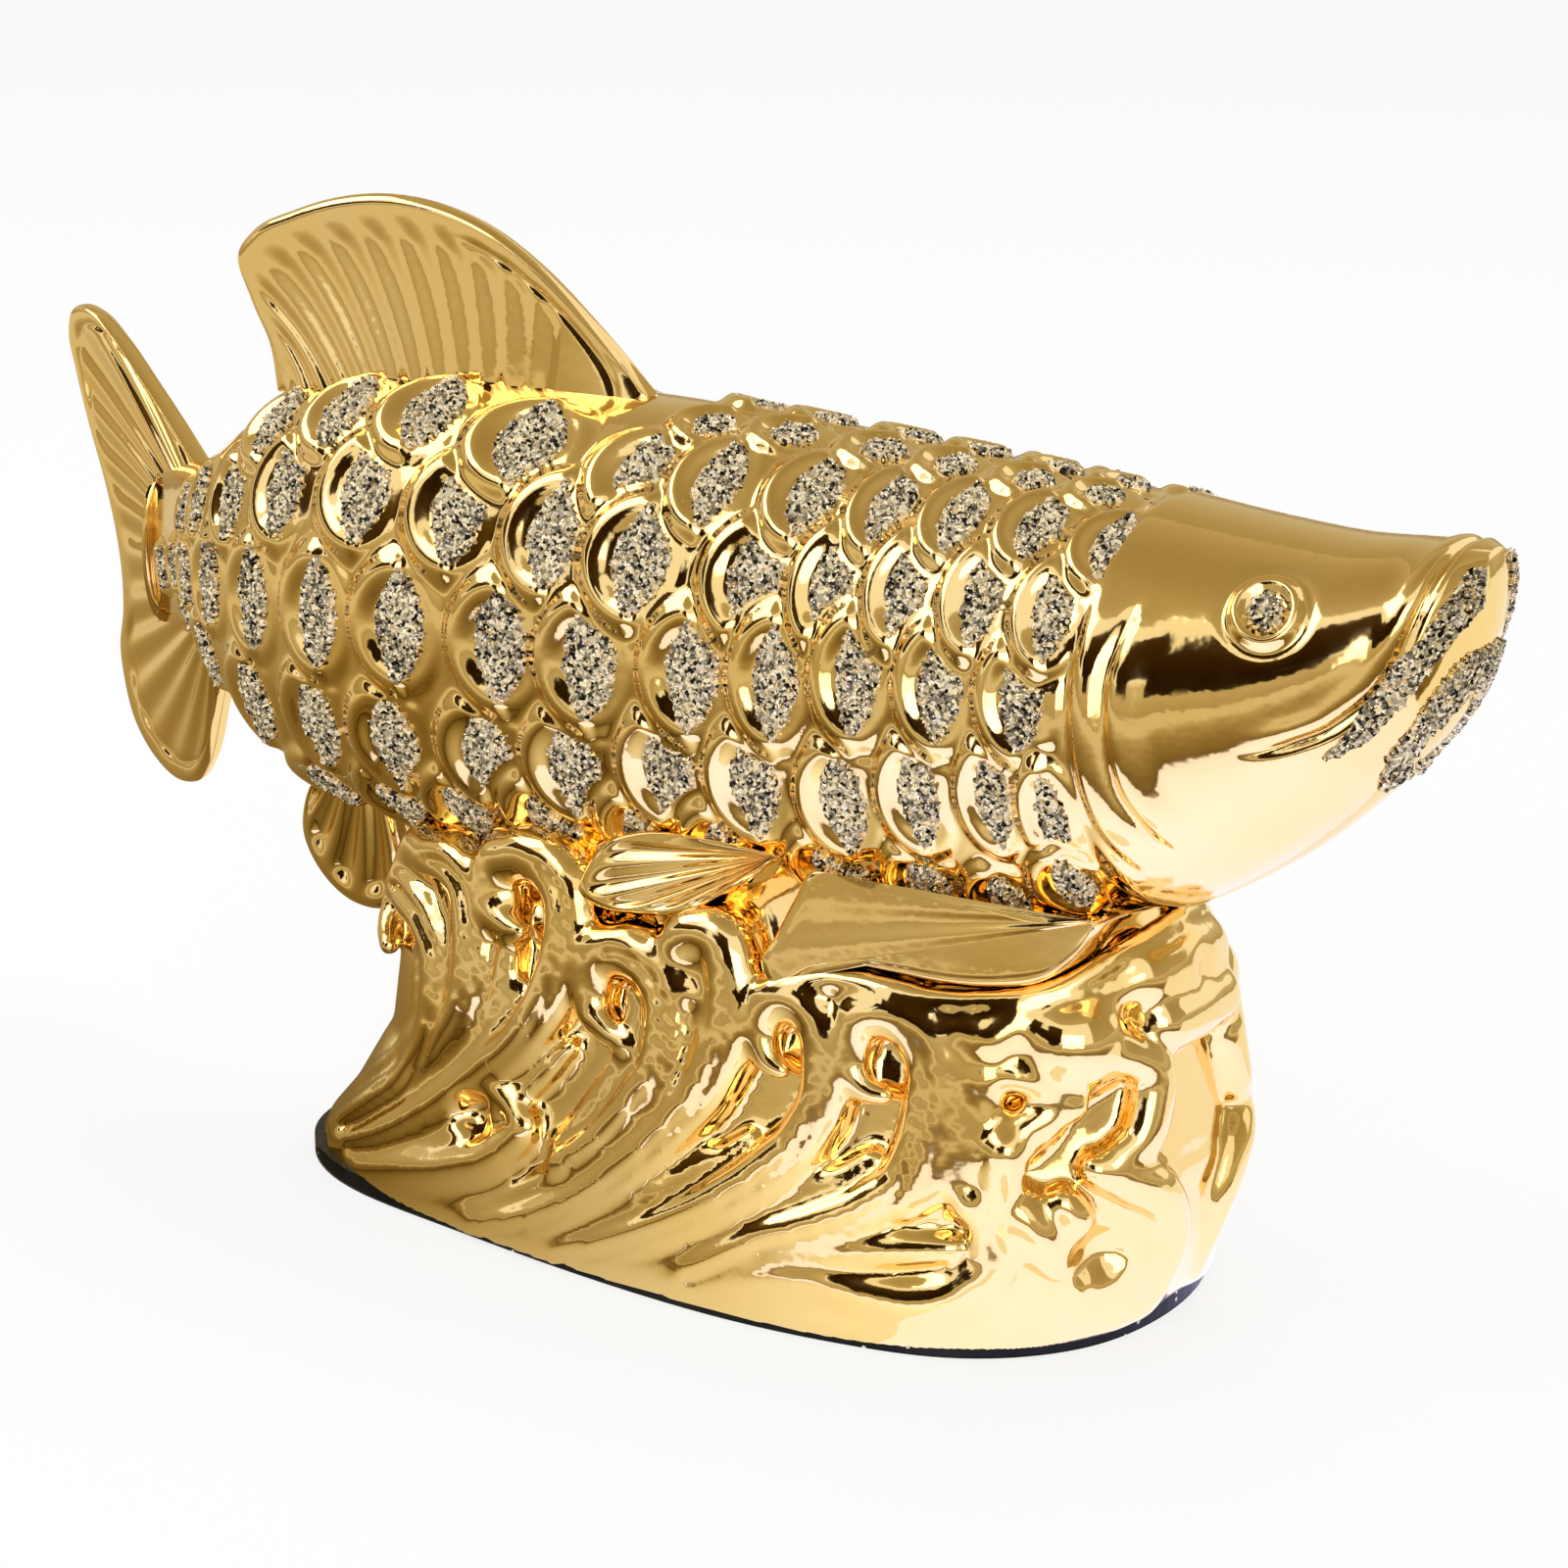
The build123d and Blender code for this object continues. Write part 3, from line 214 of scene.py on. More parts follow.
def bell(value, width):
    """Rounded bump, 1 at zero."""
    return np.exp(-(value / width) ** 2)


def faired(knots, values, places):
    """Numbers or points on the smooth curve that takes the given values at the knots."""
    gaps = np.diff(knots)
    spread = gaps.reshape(-1, *[1] * (values.ndim - 1))
    slope = np.diff(values, axis=0) / spread
    tangent = np.empty_like(values)
    tangent[0], tangent[-1] = slope[0], slope[-1]
    tangent[1:-1] = (slope[:-1] * spread[1:] + slope[1:] * spread[:-1]) / (spread[1:] + spread[:-1])
    k = np.clip(np.searchsorted(knots, places) - 1, 0, len(gaps) - 1)
    t, step = (places - knots[k]) / gaps[k], gaps[k]
    if values.ndim > 1:
        t, step = t[:, None], step[:, None]
    return ((2 * t**3 - 3 * t**2 + 1) * values[k] + (t**3 - 2 * t**2 + t) * step * tangent[k]
            + (3 * t**2 - 2 * t**3) * values[k + 1] + (t**3 - t**2) * step * tangent[k + 1])


def curve(points, count):
    """Points of a smooth curve through the given ones, spaced evenly by the chords of their first two numbers."""
    points = np.array(points, float)
    chords = np.linalg.norm(np.diff(points[:, :2], axis=0), axis=1)
    knots = np.r_[0, np.cumsum(np.maximum(chords, 1e-6))]
    return faired(knots, points, np.linspace(0, knots[-1], count))


def station(x, column):
    """A column of the station table at x, on smooth curves through the stations."""
    return faired(STATIONS[:, 0], STATIONS[:, column], np.clip(x, TAIL_END, SNOUT_END))


def skin(x, angle, shrink=1.0):
    """Points of the bare skin in millimetres. Angle 0 is the ridge, positive towards -Y."""
    x, angle, shrink = np.broadcast_arrays(np.asarray(x, float), np.asarray(angle, float), shrink)
    swing, top, bottom, half, share = (station(x, column) for column in range(1, 6))
    middle = bottom + (top - bottom) * share
    cosine, sine = np.cos(angle), np.sin(angle)
    reach = (np.abs(cosine) ** SECTION_POWER + np.abs(sine) ** SECTION_POWER) ** (-1 / SECTION_POWER)
    height = np.where(cosine > 0, top - middle, middle - bottom)
    lean = station(x + 0.5, 1) - station(x - 0.5, 1)
    size = np.sqrt(1 + lean * lean)
    across = -half * sine * reach * shrink
    return np.stack([x - across * lean / size, swing + across / size, middle + height * cosine * reach * shrink], -1)


def skin_frame(x, angle):
    """Point of the skin with its unit directions towards the head, round the section and outwards."""
    here = skin(x, angle)
    along = skin(x + 0.5, angle) - skin(x - 0.5, angle)
    around = skin(x, angle + 0.01) - skin(x, angle - 0.01)
    along /= np.linalg.norm(along)
    around -= along * (around @ along)
    around /= np.linalg.norm(around)
    out = np.cross(along, around)
    centre = np.array([x, station(x, 1), (station(x, 2) + station(x, 3)) / 2])
    if out @ (here - centre) < 0:
        out = -out
    return here, along, around, out


def line_distance(x, z, line):
    """Distance from a line in the side view, positive on its head side, and the place along the line from 0 to 1."""
    line = curve(line, LINE_POINTS)
    signed, place = np.full(x.shape, 99.0), np.zeros(x.shape)
    near = (x > line[:, 0].min() - LINE_REACH) & (x < line[:, 0].max() + LINE_REACH)
    px, pz = x[near], z[near]
    found, gap, where = np.full(px.shape, 1e6), signed[near], place[near]
    for k, (a, b) in enumerate(zip(line[:-1], line[1:])):
        d = b - a
        t = np.clip(((px - a[0]) * d[0] + (pz - a[1]) * d[1]) / (d @ d), 0, 1)
        ox, oz = px - a[0] - t * d[0], pz - a[1] - t * d[1]
        distance = ox * ox + oz * oz
        closer = distance < found
        found = np.where(closer, distance, found)
        side = np.where(ox * -d[1] + oz * d[0] > 0, 1, -1)
        gap = np.where(closer, side * np.sqrt(distance), gap)
        where = np.where(closer, (k + t) / (LINE_POINTS - 1), where)
    signed[near], place[near] = gap, where
    return signed, place


def grid_normals(points):
    """Unit normals of a grid of points whose columns close into rings."""
    along = np.gradient(points, axis=0)
    around = np.roll(points, -1, axis=1) - np.roll(points, 1, axis=1)
    normals = np.cross(along, around)
    return normals / np.maximum(np.linalg.norm(normals, axis=-1, keepdims=True), 1e-12)


def mesh_piece(name, points, faces, material, node, flat=False):
    """Makes a mesh from points in millimetres and a list of face arrays. It rides on the figurine for its node."""
    mesh = bpy.data.meshes.new(name)
    points = np.asarray(points, float) * MM
    faces = [np.asarray(f, np.int32) for f in faces if len(f)]
    totals = np.concatenate([np.full(len(f), f.shape[1], np.int32) for f in faces])
    mesh.vertices.add(len(points))
    mesh.vertices.foreach_set("co", points.astype(np.float32).ravel())
    mesh.loops.add(int(totals.sum()))
    mesh.loops.foreach_set("vertex_index", np.concatenate([f.ravel() for f in faces]))
    mesh.polygons.add(len(totals))
    mesh.polygons.foreach_set("loop_start", np.r_[0, np.cumsum(totals)[:-1]].astype(np.int32))
    mesh.polygons.foreach_set("loop_total", totals)
    mesh.polygons.foreach_set("use_smooth", np.full(len(totals), not flat))
    mesh.update(calc_edges=True)
    mesh.validate()
    mesh.materials.append(material)
    piece = bpy.data.objects.new(name, mesh)
    bpy.context.scene.collection.objects.link(piece)
    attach(piece, BODY)
    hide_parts(node)


def wrapped_quads(rows, columns):
    """Quads of a grid of rows whose columns close into a ring."""
    i, j = np.meshgrid(np.arange(rows - 1), np.arange(columns), indexing="ij")
    k = (j + 1) % columns
    return np.stack([i * columns + j, i * columns + k, (i + 1) * columns + k, (i + 1) * columns + j], -1).reshape(-1, 4)


def sheet_quads(rows, columns):
    """Index grid of an open sheet of points, and its quads."""
    grid = np.arange(rows * columns).reshape(rows, columns)
    return grid, np.stack([grid[:-1, :-1], grid[1:, :-1], grid[1:, 1:], grid[:-1, 1:]], -1).reshape(-1, 4)


def blur(field, passes):
    """Evens out a field on the wrapped body grid."""
    for _ in range(passes):
        field = (np.roll(field, 1, 1) + 2 * field + np.roll(field, -1, 1)) / 4
        field[1:-1] = (field[:-2] + 2 * field[1:-1] + field[2:]) / 4
    return field


def scale_node(row, name):
    """The CAD node of the grit in one row of scales."""
    return f"scale_grit_{name}_row_{row}" if row else f"ridge_grit_{name}"


class FishGrid:
    """Fine grid of the fish with its scale relief, its head lines and the places of its grit."""

    COLUMNS = 456
    # How far the skin between the scales lies under the bare shape
    SINK = 1.5
    # Least height of a crumb, how far it strays, and how deep the grit's border and underside lie in the skin
    CRUMB_LOW, CRUMB_STRAY, BORDER, UNDERSIDE = 0.3, 0.2, 0.3, 0.4

    def __init__(self):
        # The rings stand closer together towards the snout
        steps = [TAIL_END]
        while steps[-1] < SNOUT_END:
            left = SNOUT_END - steps[-1]
            steps.append(steps[-1] + min(0.6, 0.10 + 0.045 * left))
        steps[-1] = SNOUT_END
        self.x = np.array(steps)
        self.angle = np.linspace(-math.pi, math.pi, self.COLUMNS, endpoint=False)
        self.base = skin(self.x[:, None], self.angle[None, :])
        self.out = grid_normals(self.base)
        centre = self.base.mean(axis=1, keepdims=True)
        if ((self.out * (self.base - centre)).sum(-1)).mean() < 0:
            self.out = -self.out
        self.lift = np.zeros(self.base.shape[:2])
        self.patch = np.full(self.base.shape[:2], -1)
        self.random = np.random.default_rng(7)
        self.ragged = self.random.uniform(-0.07, 0.07, self.lift.shape)
        self.groups = []
        self.lay_scales()
        self.lay_head()
        self.points = self.base + self.out * self.lift[..., None]
        self.normals = grid_normals(self.points)
        if (self.normals * self.out).sum() < 0:
            self.normals = -self.normals

    def lay_scales(self):
        """Scales from the tail to the head: each covers those behind it, as roof tiles do."""
        self.lift -= self.SINK * (1 - smooth(self.base[..., 0], *SCALES_END))
        scales = []
        for row, half, lens, places in SCALE_ROWS:
            spots = [x for x, _ in places]
            gaps = np.abs(np.gradient(spots))
            for (x, angle), gap in zip(places, gaps):
                scales += [(x, row, half, lens, float(gap) / SCALE_PITCH, angle, side, name) for side, name in FLANKS]
        for row in range(len(SCALE_ROWS)):
            self.groups += [scale_node(row, name) for _, name in FLANKS]
        relief = settings()[0].scale_relief / MM
        for x, row, half, lens, long, angle, side, name in sorted(scales):
            size = min(1.0, float(station(x, 2) - station(x, 3)) / FULL_DEPTH)
            here, along, around, out = skin_frame(float(x), side * math.radians(angle))
            rows = slice(*np.searchsorted(self.x, [x + way for way in SCALE_WINDOW]))
            offset = self.base[rows] - here
            back, aside, above = -(offset @ along) / long, (offset @ around) / size, offset @ out
            near = above > FAR_SIDE
            reach = np.where(back > 0, SCALE_REACH, SCALE_FRONT)
            radius = np.sqrt((back / reach) ** 2 + (np.abs(aside) / half) ** 2)
            depth = (1 - radius) * SCALE_REACH
            rim = smooth(depth, *RIM_RISE) * relief
            pocket = np.where(back > 0, smooth(depth, *POCKET_FALL), smooth(depth, -2, 6)) * POCKET_SHARE * relief
            lip = -CREASE * bell(depth - CREASE_PLACE, CREASE_WIDTH) * smooth(back, 0, 4)
            share = SLENDER_SHARE + (1 - SLENDER_SHARE) * size
            height = (rim - pocket + lip - HIDDEN_FALL * np.maximum(-back, 0)) * share - self.SINK
            cover = smooth(depth, *SCALE_COVER) * near * np.where(back < 0, smooth(back, *SCALE_HIDDEN), 1)
            field = self.lift[rows]
            self.lift[rows] = field + (height - field) * cover
            inside = (depth > GRIT_DEPTH) & near & (back > GRIT_BACK)
            width = LENS_HALF * np.clip(1 - (aside / (LENS_STRETCH * lens)) ** 2, 0, 1)
            grit = inside & (np.abs(back) < width * (1 + self.ragged[rows]))
            patch = self.patch[rows]
            patch[inside] = -1
            patch[grit] = self.groups.index(scale_node(row, name))
        self.lift = blur(self.lift, 2)

    def lay_head(self):
        """Gill cover, gill folds, mouth, eye rings and the places of the grit at the eyes and the mouth."""
        x, y, z = np.moveaxis(self.base, -1, 0)
        edge = curve(GILL_EDGE, LINE_POINTS)
        past = x - np.interp(z, edge[:, 1], edge[:, 0])
        self.lift += (CHEEK * smooth(past, -0.6, 3) - self.lift) * smooth(past, -1, 4)
        self.patch[past > 4] = -1
        # A fold rises at its line, with a groove behind it
        for line in GILL_LINES:
            s, place = line_distance(x, z, line)
            window = smooth(place, 0.0, 0.3) * (1 - smooth(place, 0.75, 1.0))
            fold = smooth(s, -1.3, 0.9) * (1 - smooth(s, 1.2, 8))
            self.lift += window * (GILL_FOLD * fold - GILL_GROOVE * bell(s + 1.3, 1.1))
        s, place = line_distance(x, z, MOUTH_LINE)
        window = smooth(place, 0.0, 0.06) * (1 - smooth(place, 0.78, 1.0))
        lip = smooth(s, -0.2, 1.3) * (1 - smooth(s, 3.0, 12))
        rolled = LIP_ROLL * bell(s + 2.6, 1.8)
        self.lift += window * (LIP_FOLD * lip + rolled - LIP_CREASE * bell(s + 0.2, 0.8))
        for side, name in FLANKS:
            here, along, around, out = skin_frame(EYE_X, side * math.radians(EYE_ANGLE))
            offset = self.base - here
            above = offset @ out
            r = np.sqrt((offset @ along) ** 2 + (offset @ around) ** 2)
            near = above > FAR_SIDE_EYE
            ring = EYE_RIM * bell(r - EYE_RING, 1.2) - EYE_DIP * bell(r - 7.6, 1.0)
            self.lift += np.where(near, ring, 0)
            flank = (y < 0) if side > 0 else (y > 0)
            self.add_patch(near & (r < EYE_GRIT * (1 + self.ragged)), "eye_grit_" + name)
            for band, (rear, front) in (("lip_grit_", LIP_BAND), ("chin_grit_", CHIN_BAND)):
                rear, front = np.array(rear, float), np.array(front, float)
                low, high = max(rear[0, 1], front[0, 1]), min(rear[-1, 1], front[-1, 1])
                left = np.interp(z, rear[:, 1], rear[:, 0])
                right = np.interp(z, front[:, 1], front[:, 0])
                middle, width = (left + right) / 2, (right - left) / 2
                inside = (np.abs(x - middle) < width * (1 + 3 * self.ragged)) & (z > low) & (z < high)
                self.add_patch(inside & flank, band + name)

    def add_patch(self, mask, node):
        """One more group of grit."""
        self.groups.append(node)
        self.patch[mask] = self.groups.index(node)

    def make_skin(self):
        """The closed skin of the fish, with a rounded snout and tail end."""
        rings = [self.points]
        for step in SNOUT_RINGS:
            cap = skin(np.array([SNOUT_END]), self.angle, math.sqrt(1 - step * step))
            rings.append((cap + np.array([SNOUT_CAP * step, 0, 0]))[None])
        tail = skin(np.array([TAIL_END]), self.angle, TAIL_SHARE) + np.array(TAIL_CAP)
        rings.insert(0, tail[None])
        points = np.concatenate(rings)
        count, columns = points.shape[:2]
        ends = np.array([points[0].mean(0), points[-1].mean(0)])
        j = np.arange(columns)
        k = (j + 1) % columns
        last = (count - 1) * columns
        fans = np.concatenate([np.stack([k, j, np.full(columns, count * columns)], -1),
                               np.stack([last + j, last + k, np.full(columns, count * columns + 1)], -1)])
        vertices = np.concatenate([points.reshape(-1, 3), ends])
        mesh_piece("fish_skin", vertices, [wrapped_quads(count, columns), fans], plated_gold(), "fish_body")

    def make_grit(self, index, node):
        """Broken glass of one group: a jagged sheet of facets, closed underneath."""
        mask = self.patch == index
        nxt = np.roll(mask, -1, axis=1)
        cells = mask[:-1] & mask[1:] & nxt[:-1] & nxt[1:]
        i, j = np.nonzero(cells)
        columns = self.COLUMNS
        k = (j + 1) % columns
        corners = np.stack([i * columns + j, (i + 1) * columns + j, (i + 1) * columns + k, i * columns + k], -1)
        used, inverse, count = np.unique(corners, return_inverse=True, return_counts=True)
        corners = inverse.reshape(corners.shape)
        points = self.points.reshape(-1, 3)[used]
        normals = self.normals.reshape(-1, 3)[used]
        inner = count == 4
        random = np.random.default_rng(100 + index)
        high = np.where(inner, random.uniform(self.CRUMB_LOW, settings()[0].grit_height / MM, len(used)), -self.BORDER)
        shift = random.uniform(-self.CRUMB_STRAY, self.CRUMB_STRAY, (len(used), 3)) * inner[:, None]
        top = points + normals * high[:, None] + shift
        below = np.nonzero(inner)[0]
        bottom_index = np.arange(len(used))
        bottom_index[below] = len(used) + np.arange(len(below))
        vertices = np.concatenate([top, points[below] - normals[below] * self.UNDERSIDE])
        turn = random.random(len(corners)) < 0.5
        a, b, c, d = corners.T
        first = np.where(turn[:, None], np.stack([a, b, c], -1), np.stack([b, c, d], -1))
        second = np.where(turn[:, None], np.stack([a, c, d], -1), np.stack([b, d, a], -1))
        under = bottom_index[corners][:, ::-1]
        mesh_piece("glass_" + node, vertices, [first, second, under], crushed_glass(), node, flat=True)


def fin_piece(node, drawing, side=1):
    """Closed fin, ruled from its root line to its free edge, with a flared root, a round rim and sunk grooves."""
    relief = drawing["relief"]
    edge, root = curve(drawing["edge"], FIN_ACROSS), curve(drawing["root"], FIN_ACROSS)
    s = np.linspace(0, 1, FIN_ACROSS)[:, None]
    t = 1 - (1 - np.linspace(0, 1, FIN_UP)[None, :]) ** FIN_SPACING
    place = root[:, None] * (1 - t[..., None]) + edge[:, None] * t[..., None]
    place = place + np.array(drawing["bow"]) * (4 * t * (1 - t))[..., None]
    to_edge = (1 - t) * np.linalg.norm(edge - root, axis=1)[:, None]
    span = np.r_[0, np.cumsum(np.linalg.norm(np.diff(edge, axis=0), axis=1))][:, None]
    nearest = np.minimum(to_edge, np.minimum(span, span[-1] - span) * (0.4 + 0.6 * t) + 0.8 * (1 - t))
    rounding = np.sqrt(np.clip(1 - (1 - np.clip(nearest / drawing["rim"], 0, 1)) ** 2, 0, 1))
    root_half, edge_half = drawing["root_half"], drawing["edge_half"]
    half = edge_half + (root_half - edge_half) * (1 - smooth(t, -0.25, 0.75))
    count, first, last, fade = drawing["rays"]
    wave = np.cos(2 * math.pi * count * (s - first) / (last - first))
    inside = smooth(s, first - 0.01, first + 0.03) * (1 - smooth(s, last - 0.03, last + 0.01))
    rays = settings()[0].ray_relief / MM * relief * (wave - 1) * inside
    half = half + rays * smooth(to_edge, fade * 0.45, fade * 1.3)
    for low, high, depth in drawing["strips"]:
        window = smooth(s, low - 0.02, low + 0.02) if low > 0 else 1
        window = window * (1 - smooth(s, high - 0.08, high)) if high < 1 else window
        half = half - STRIP_DEPTH * relief * bell(to_edge - depth, STRIP_WIDTH) * window * smooth(t, 0.0, 0.2)
    half = half * rounding
    u, v = (np.array(axis, float) for axis in drawing["axes"])
    w = np.cross(u, v)
    w /= np.linalg.norm(w)
    flat = np.array(drawing["origin"], float) + place[..., :1] * u + place[..., 1:2] * v
    front, back = flat + w * half[..., None], flat - w * (half + drawing["back"])[..., None]
    grid, quads = sheet_quads(FIN_ACROSS, FIN_UP)
    border = np.concatenate([grid[:, 0], grid[-1, 1:], grid[-2::-1, -1], grid[0, -2:0:-1]])
    following = np.roll(border, -1)
    seam = np.stack([following, border, border + grid.size, following + grid.size], -1)
    vertices = np.concatenate([front.reshape(-1, 3), back.reshape(-1, 3)]) * np.array([1, side, 1])
    faces = [quads, (quads + grid.size)[:, ::-1], seam]
    if side < 0:
        faces = [f[:, ::-1] for f in faces]
    mesh_piece(node + "_form", vertices, faces, plated_gold(), node)


def flank_y(x, z, levels, grow=0.0):
    """Half width of the base at x and z: widest a little towards the head, and rounded off at both ends."""
    left, right, wide = (np.interp(z, levels[:, 0], levels[:, column]) + grow for column in (1, 2, 3))
    tailward = x < WIDEST
    share = np.clip(np.abs(x - WIDEST) / np.where(tailward, left + WIDEST, right - WIDEST), 0, PAST_END)
    inside = 1 - share ** np.where(tailward, *OUTLINE_POWERS)
    return wide * np.sign(inside) * np.abs(inside) ** np.where(tailward, *ROUND_POWERS)


def base_field(step):
    """Distance-like field of the wave base on a half grid (y <= 0), in millimetres."""
    ends, half_width, top = FIELD_BOX
    xs = np.arange(*ends, step)
    ys = np.arange(-math.ceil(half_width / step), 1) * step
    zs = np.arange(BASE_FLOOR - step * 3, top, step)
    x, y, z = np.meshgrid(xs, ys, zs, indexing="ij")
    width = flank_y(x, z, CORE)
    # The way across counts less where the base is narrow, since its surface runs aslant there
    field = (-y - width) * np.clip(0.35 + 0.65 * width / 40, 0.3, 1)
    field = np.maximum(field, z - WAVE_TOP)

    def around(points, pad):
        """Part of the grid round some points."""
        low, high = points.min(0) - pad, points.max(0) + pad
        return tuple(slice(*np.searchsorted(axis, (a, b))) for axis, a, b in zip((xs, ys, zs), low, high))

    def tube(points):
        """Distance to a tapered tube through the points, in the box around them."""
        best = np.full(field.shape, 50.0, np.float32)
        for a, b in zip(points[:-1], points[1:]):
            box = around(np.array([a[:3], b[:3]]), max(a[3], b[3]) + TUBE_PAD)
            offset = [x[box] - a[0], y[box] - a[1], z[box] - a[2]]
            d = b[:3] - a[:3]
            t = np.clip(sum(o * c for o, c in zip(offset, d)) / max(d @ d, 1e-9), 0, 1)
            gap = np.sqrt(sum((o - t * c) ** 2 for o, c in zip(offset, d))) - (a[3] + (b[3] - a[3]) * t)
            best[box] = np.minimum(best[box], gap)
        box = around(points[:, :3], points[:, 3].max() + TUBE_PAD)
        return box, best[box]

    def join(a, b, width):
        """The nearer of two shapes, run together over a width."""
        h = np.clip(0.5 + 0.5 * (b - a) / width, 0, 1)
        return b + (a - b) * h - width * h * (1 - h)

    def add(points, width):
        """Joins a tube to the waves."""
        box, gap = tube(points)
        field[box] = join(field[box], gap, width)

    def sink(points, width):
        """Cuts a tube out of the waves."""
        box, gap = tube(points)
        field[box] = -join(-field[box], gap, width)

    def placed(points):
        """Points of a stroke, laid just under the outer flank."""
        points = np.array(points, float)
        x, z, radius = points.T
        return np.stack([x, -flank_y(x, z, FLANK, -0.6 * radius - 0.5), z, radius], -1)

    def sideways(line):
        """Unit directions across the line in the side view, to the right of its way down."""
        direction = np.gradient(line[:, [0, 2]], axis=0)
        direction /= np.maximum(np.linalg.norm(direction, axis=1, keepdims=True), 1e-9)
        return direction[:, ::-1] * np.array([-1, 1])

    for name, points in STROKES.items():
        line = curve(placed(points), max(8, 5 * len(points)))
        add(line, STROKE_JOIN)
        if name.startswith(("crest", "rim", "band")):
            web = line.copy()
            web[:, 1] += WEB_BACK
            web[:, 3] *= WEB_SHARE
            add(web, WEB_JOIN)
        if name.startswith("crest"):
            aside = sideways(line)
            stem = len(line) * 4 // 10
            for share, thin, deep in FOLDS:
                fold = line[stem:].copy()
                fold[:, [0, 2]] += aside[stem:] * (share * fold[:, 3:4])
                fold[:, 1] = np.minimum(0, -flank_y(fold[:, 0], fold[:, 2], FLANK, -deep - 0.6 * thin * fold[:, 3]))
                fold[:, 3] *= thin * np.sqrt(np.sin(np.linspace(0.15, 2.6, len(fold))))
                add(fold, STROKE_JOIN)
    for name, points in STROKES.items():
        if name.startswith("crest"):
            line = curve(placed(points), 6 * len(points))
            stem = slice(len(line) // 4, -5)
            groove = line[stem].copy()
            groove[:, [0, 2]] += sideways(line)[stem] * (GROOVE_ASIDE * groove[:, 3:4])
            groove[:, 1] -= GROOVE_OUT * groove[:, 3]
            groove[:, 3] = GROOVE
            groove[:6, 3] *= np.linspace(0.2, 1, 6)
            sink(groove, GROOVE_JOIN)
    for hx, hz, radius in HOLLOWS:
        point = np.array([(hx, -float(flank_y(np.array(hx), hz, FLANK)) - 1.0, hz, radius)] * 2)
        point[1, 1] += 2
        sink(point, HOLLOW_JOIN)
    field = np.maximum(field, BASE_FLOOR - z)
    return xs, ys, zs, field


def surface_nets(xs, ys, zs, field):
    """Smooth surface of field = 0 as vertices and quads."""
    inside = field < 0
    shape = np.array(field.shape)
    total = np.zeros(tuple(shape - 1) + (3,))
    hits = np.zeros(tuple(shape - 1))
    for axis in range(3):
        low = [slice(None)] * 3
        high = [slice(None)] * 3
        low[axis], high[axis] = slice(0, -1), slice(1, None)
        a, b = field[tuple(low)], field[tuple(high)]
        crossing = inside[tuple(low)] != inside[tuple(high)]
        t = np.where(crossing, a / np.where(crossing, a - b, 1), 0)
        others = [o for o in range(3) if o != axis]
        for da in (0, 1):
            for db in (0, 1):
                pick = [slice(None)] * 3
                pick[others[0]] = slice(da, da + shape[others[0]] - 1)
                pick[others[1]] = slice(db, db + shape[others[1]] - 1)
                cross = crossing[tuple(pick)]
                hits += cross
                total[..., axis] += np.where(cross, t[tuple(pick)], 0)
                total[..., others[0]] += cross * da
                total[..., others[1]] += cross * db
    active = hits > 0
    index = np.full(active.shape, -1)
    index[active] = np.arange(active.sum())
    cell = np.argwhere(active)
    local = total[active] / hits[active][:, None]
    origin = np.array([xs[0], ys[0], zs[0]])
    vertices = origin + (cell + local) * (xs[1] - xs[0])
    quads = []
    for axis in range(3):
        one, two = (axis + 1) % 3, (axis + 2) % 3
        low = [slice(1, -1)] * 3
        high = [slice(1, -1)] * 3
        low[axis], high[axis] = slice(0, -1), slice(1, None)
        a, b = inside[tuple(low)], inside[tuple(high)]
        for flip, mask in ((False, a & ~b), (True, b & ~a)):
            at = np.argwhere(mask)
            at[:, one] += 1
            at[:, two] += 1
            ring = []
            for d1, d2 in ((1, 1), (0, 1), (0, 0), (1, 0)):
                c = at.copy()
                c[:, one] -= d1
                c[:, two] -= d2
                ring.append(index[c[:, 0], c[:, 1], c[:, 2]])
            ring = np.stack(ring, -1)
            quads.append(ring[:, ::-1] if flip else ring)
    return vertices, np.concatenate(quads)


def wave_surface(step):
    """Points and quads of the whole wave base: the half field is mirrored and its surface evened out."""
    xs, ys, zs, field = base_field(step)
    field = np.concatenate([field, field[:, -2::-1]], axis=1)
    ys = np.concatenate([ys, -ys[-2::-1]])
    points, quads = surface_nets(xs, ys, zs, field)
    edges = np.concatenate([quads[:, [k, (k + 1) % 4]] for k in range(4)])
    degree = np.maximum(np.bincount(edges.ravel(), minlength=len(points)), 1)[:, None]
    flat = points[:, 2] < BASE_FLOOR + step
    for _ in range(EVENING):
        total = np.zeros_like(points)
        for axis in range(3):
            total[:, axis] = (np.bincount(edges[:, 0], points[edges[:, 1], axis], len(points))
                              + np.bincount(edges[:, 1], points[edges[:, 0], axis], len(points)))
        moved = points + (total / degree - points) * 0.5
        moved[flat, 2] = points[flat, 2]
        points = moved
    return points, quads


# Points of a fin along its edge and from root to edge, with the power that draws these together at the edge
FIN_ACROSS, FIN_UP, FIN_SPACING = 280, 90, 1.7
# Depth and width of the groove inside its rim
STRIP_DEPTH, STRIP_WIDTH = 0.75, 1.1
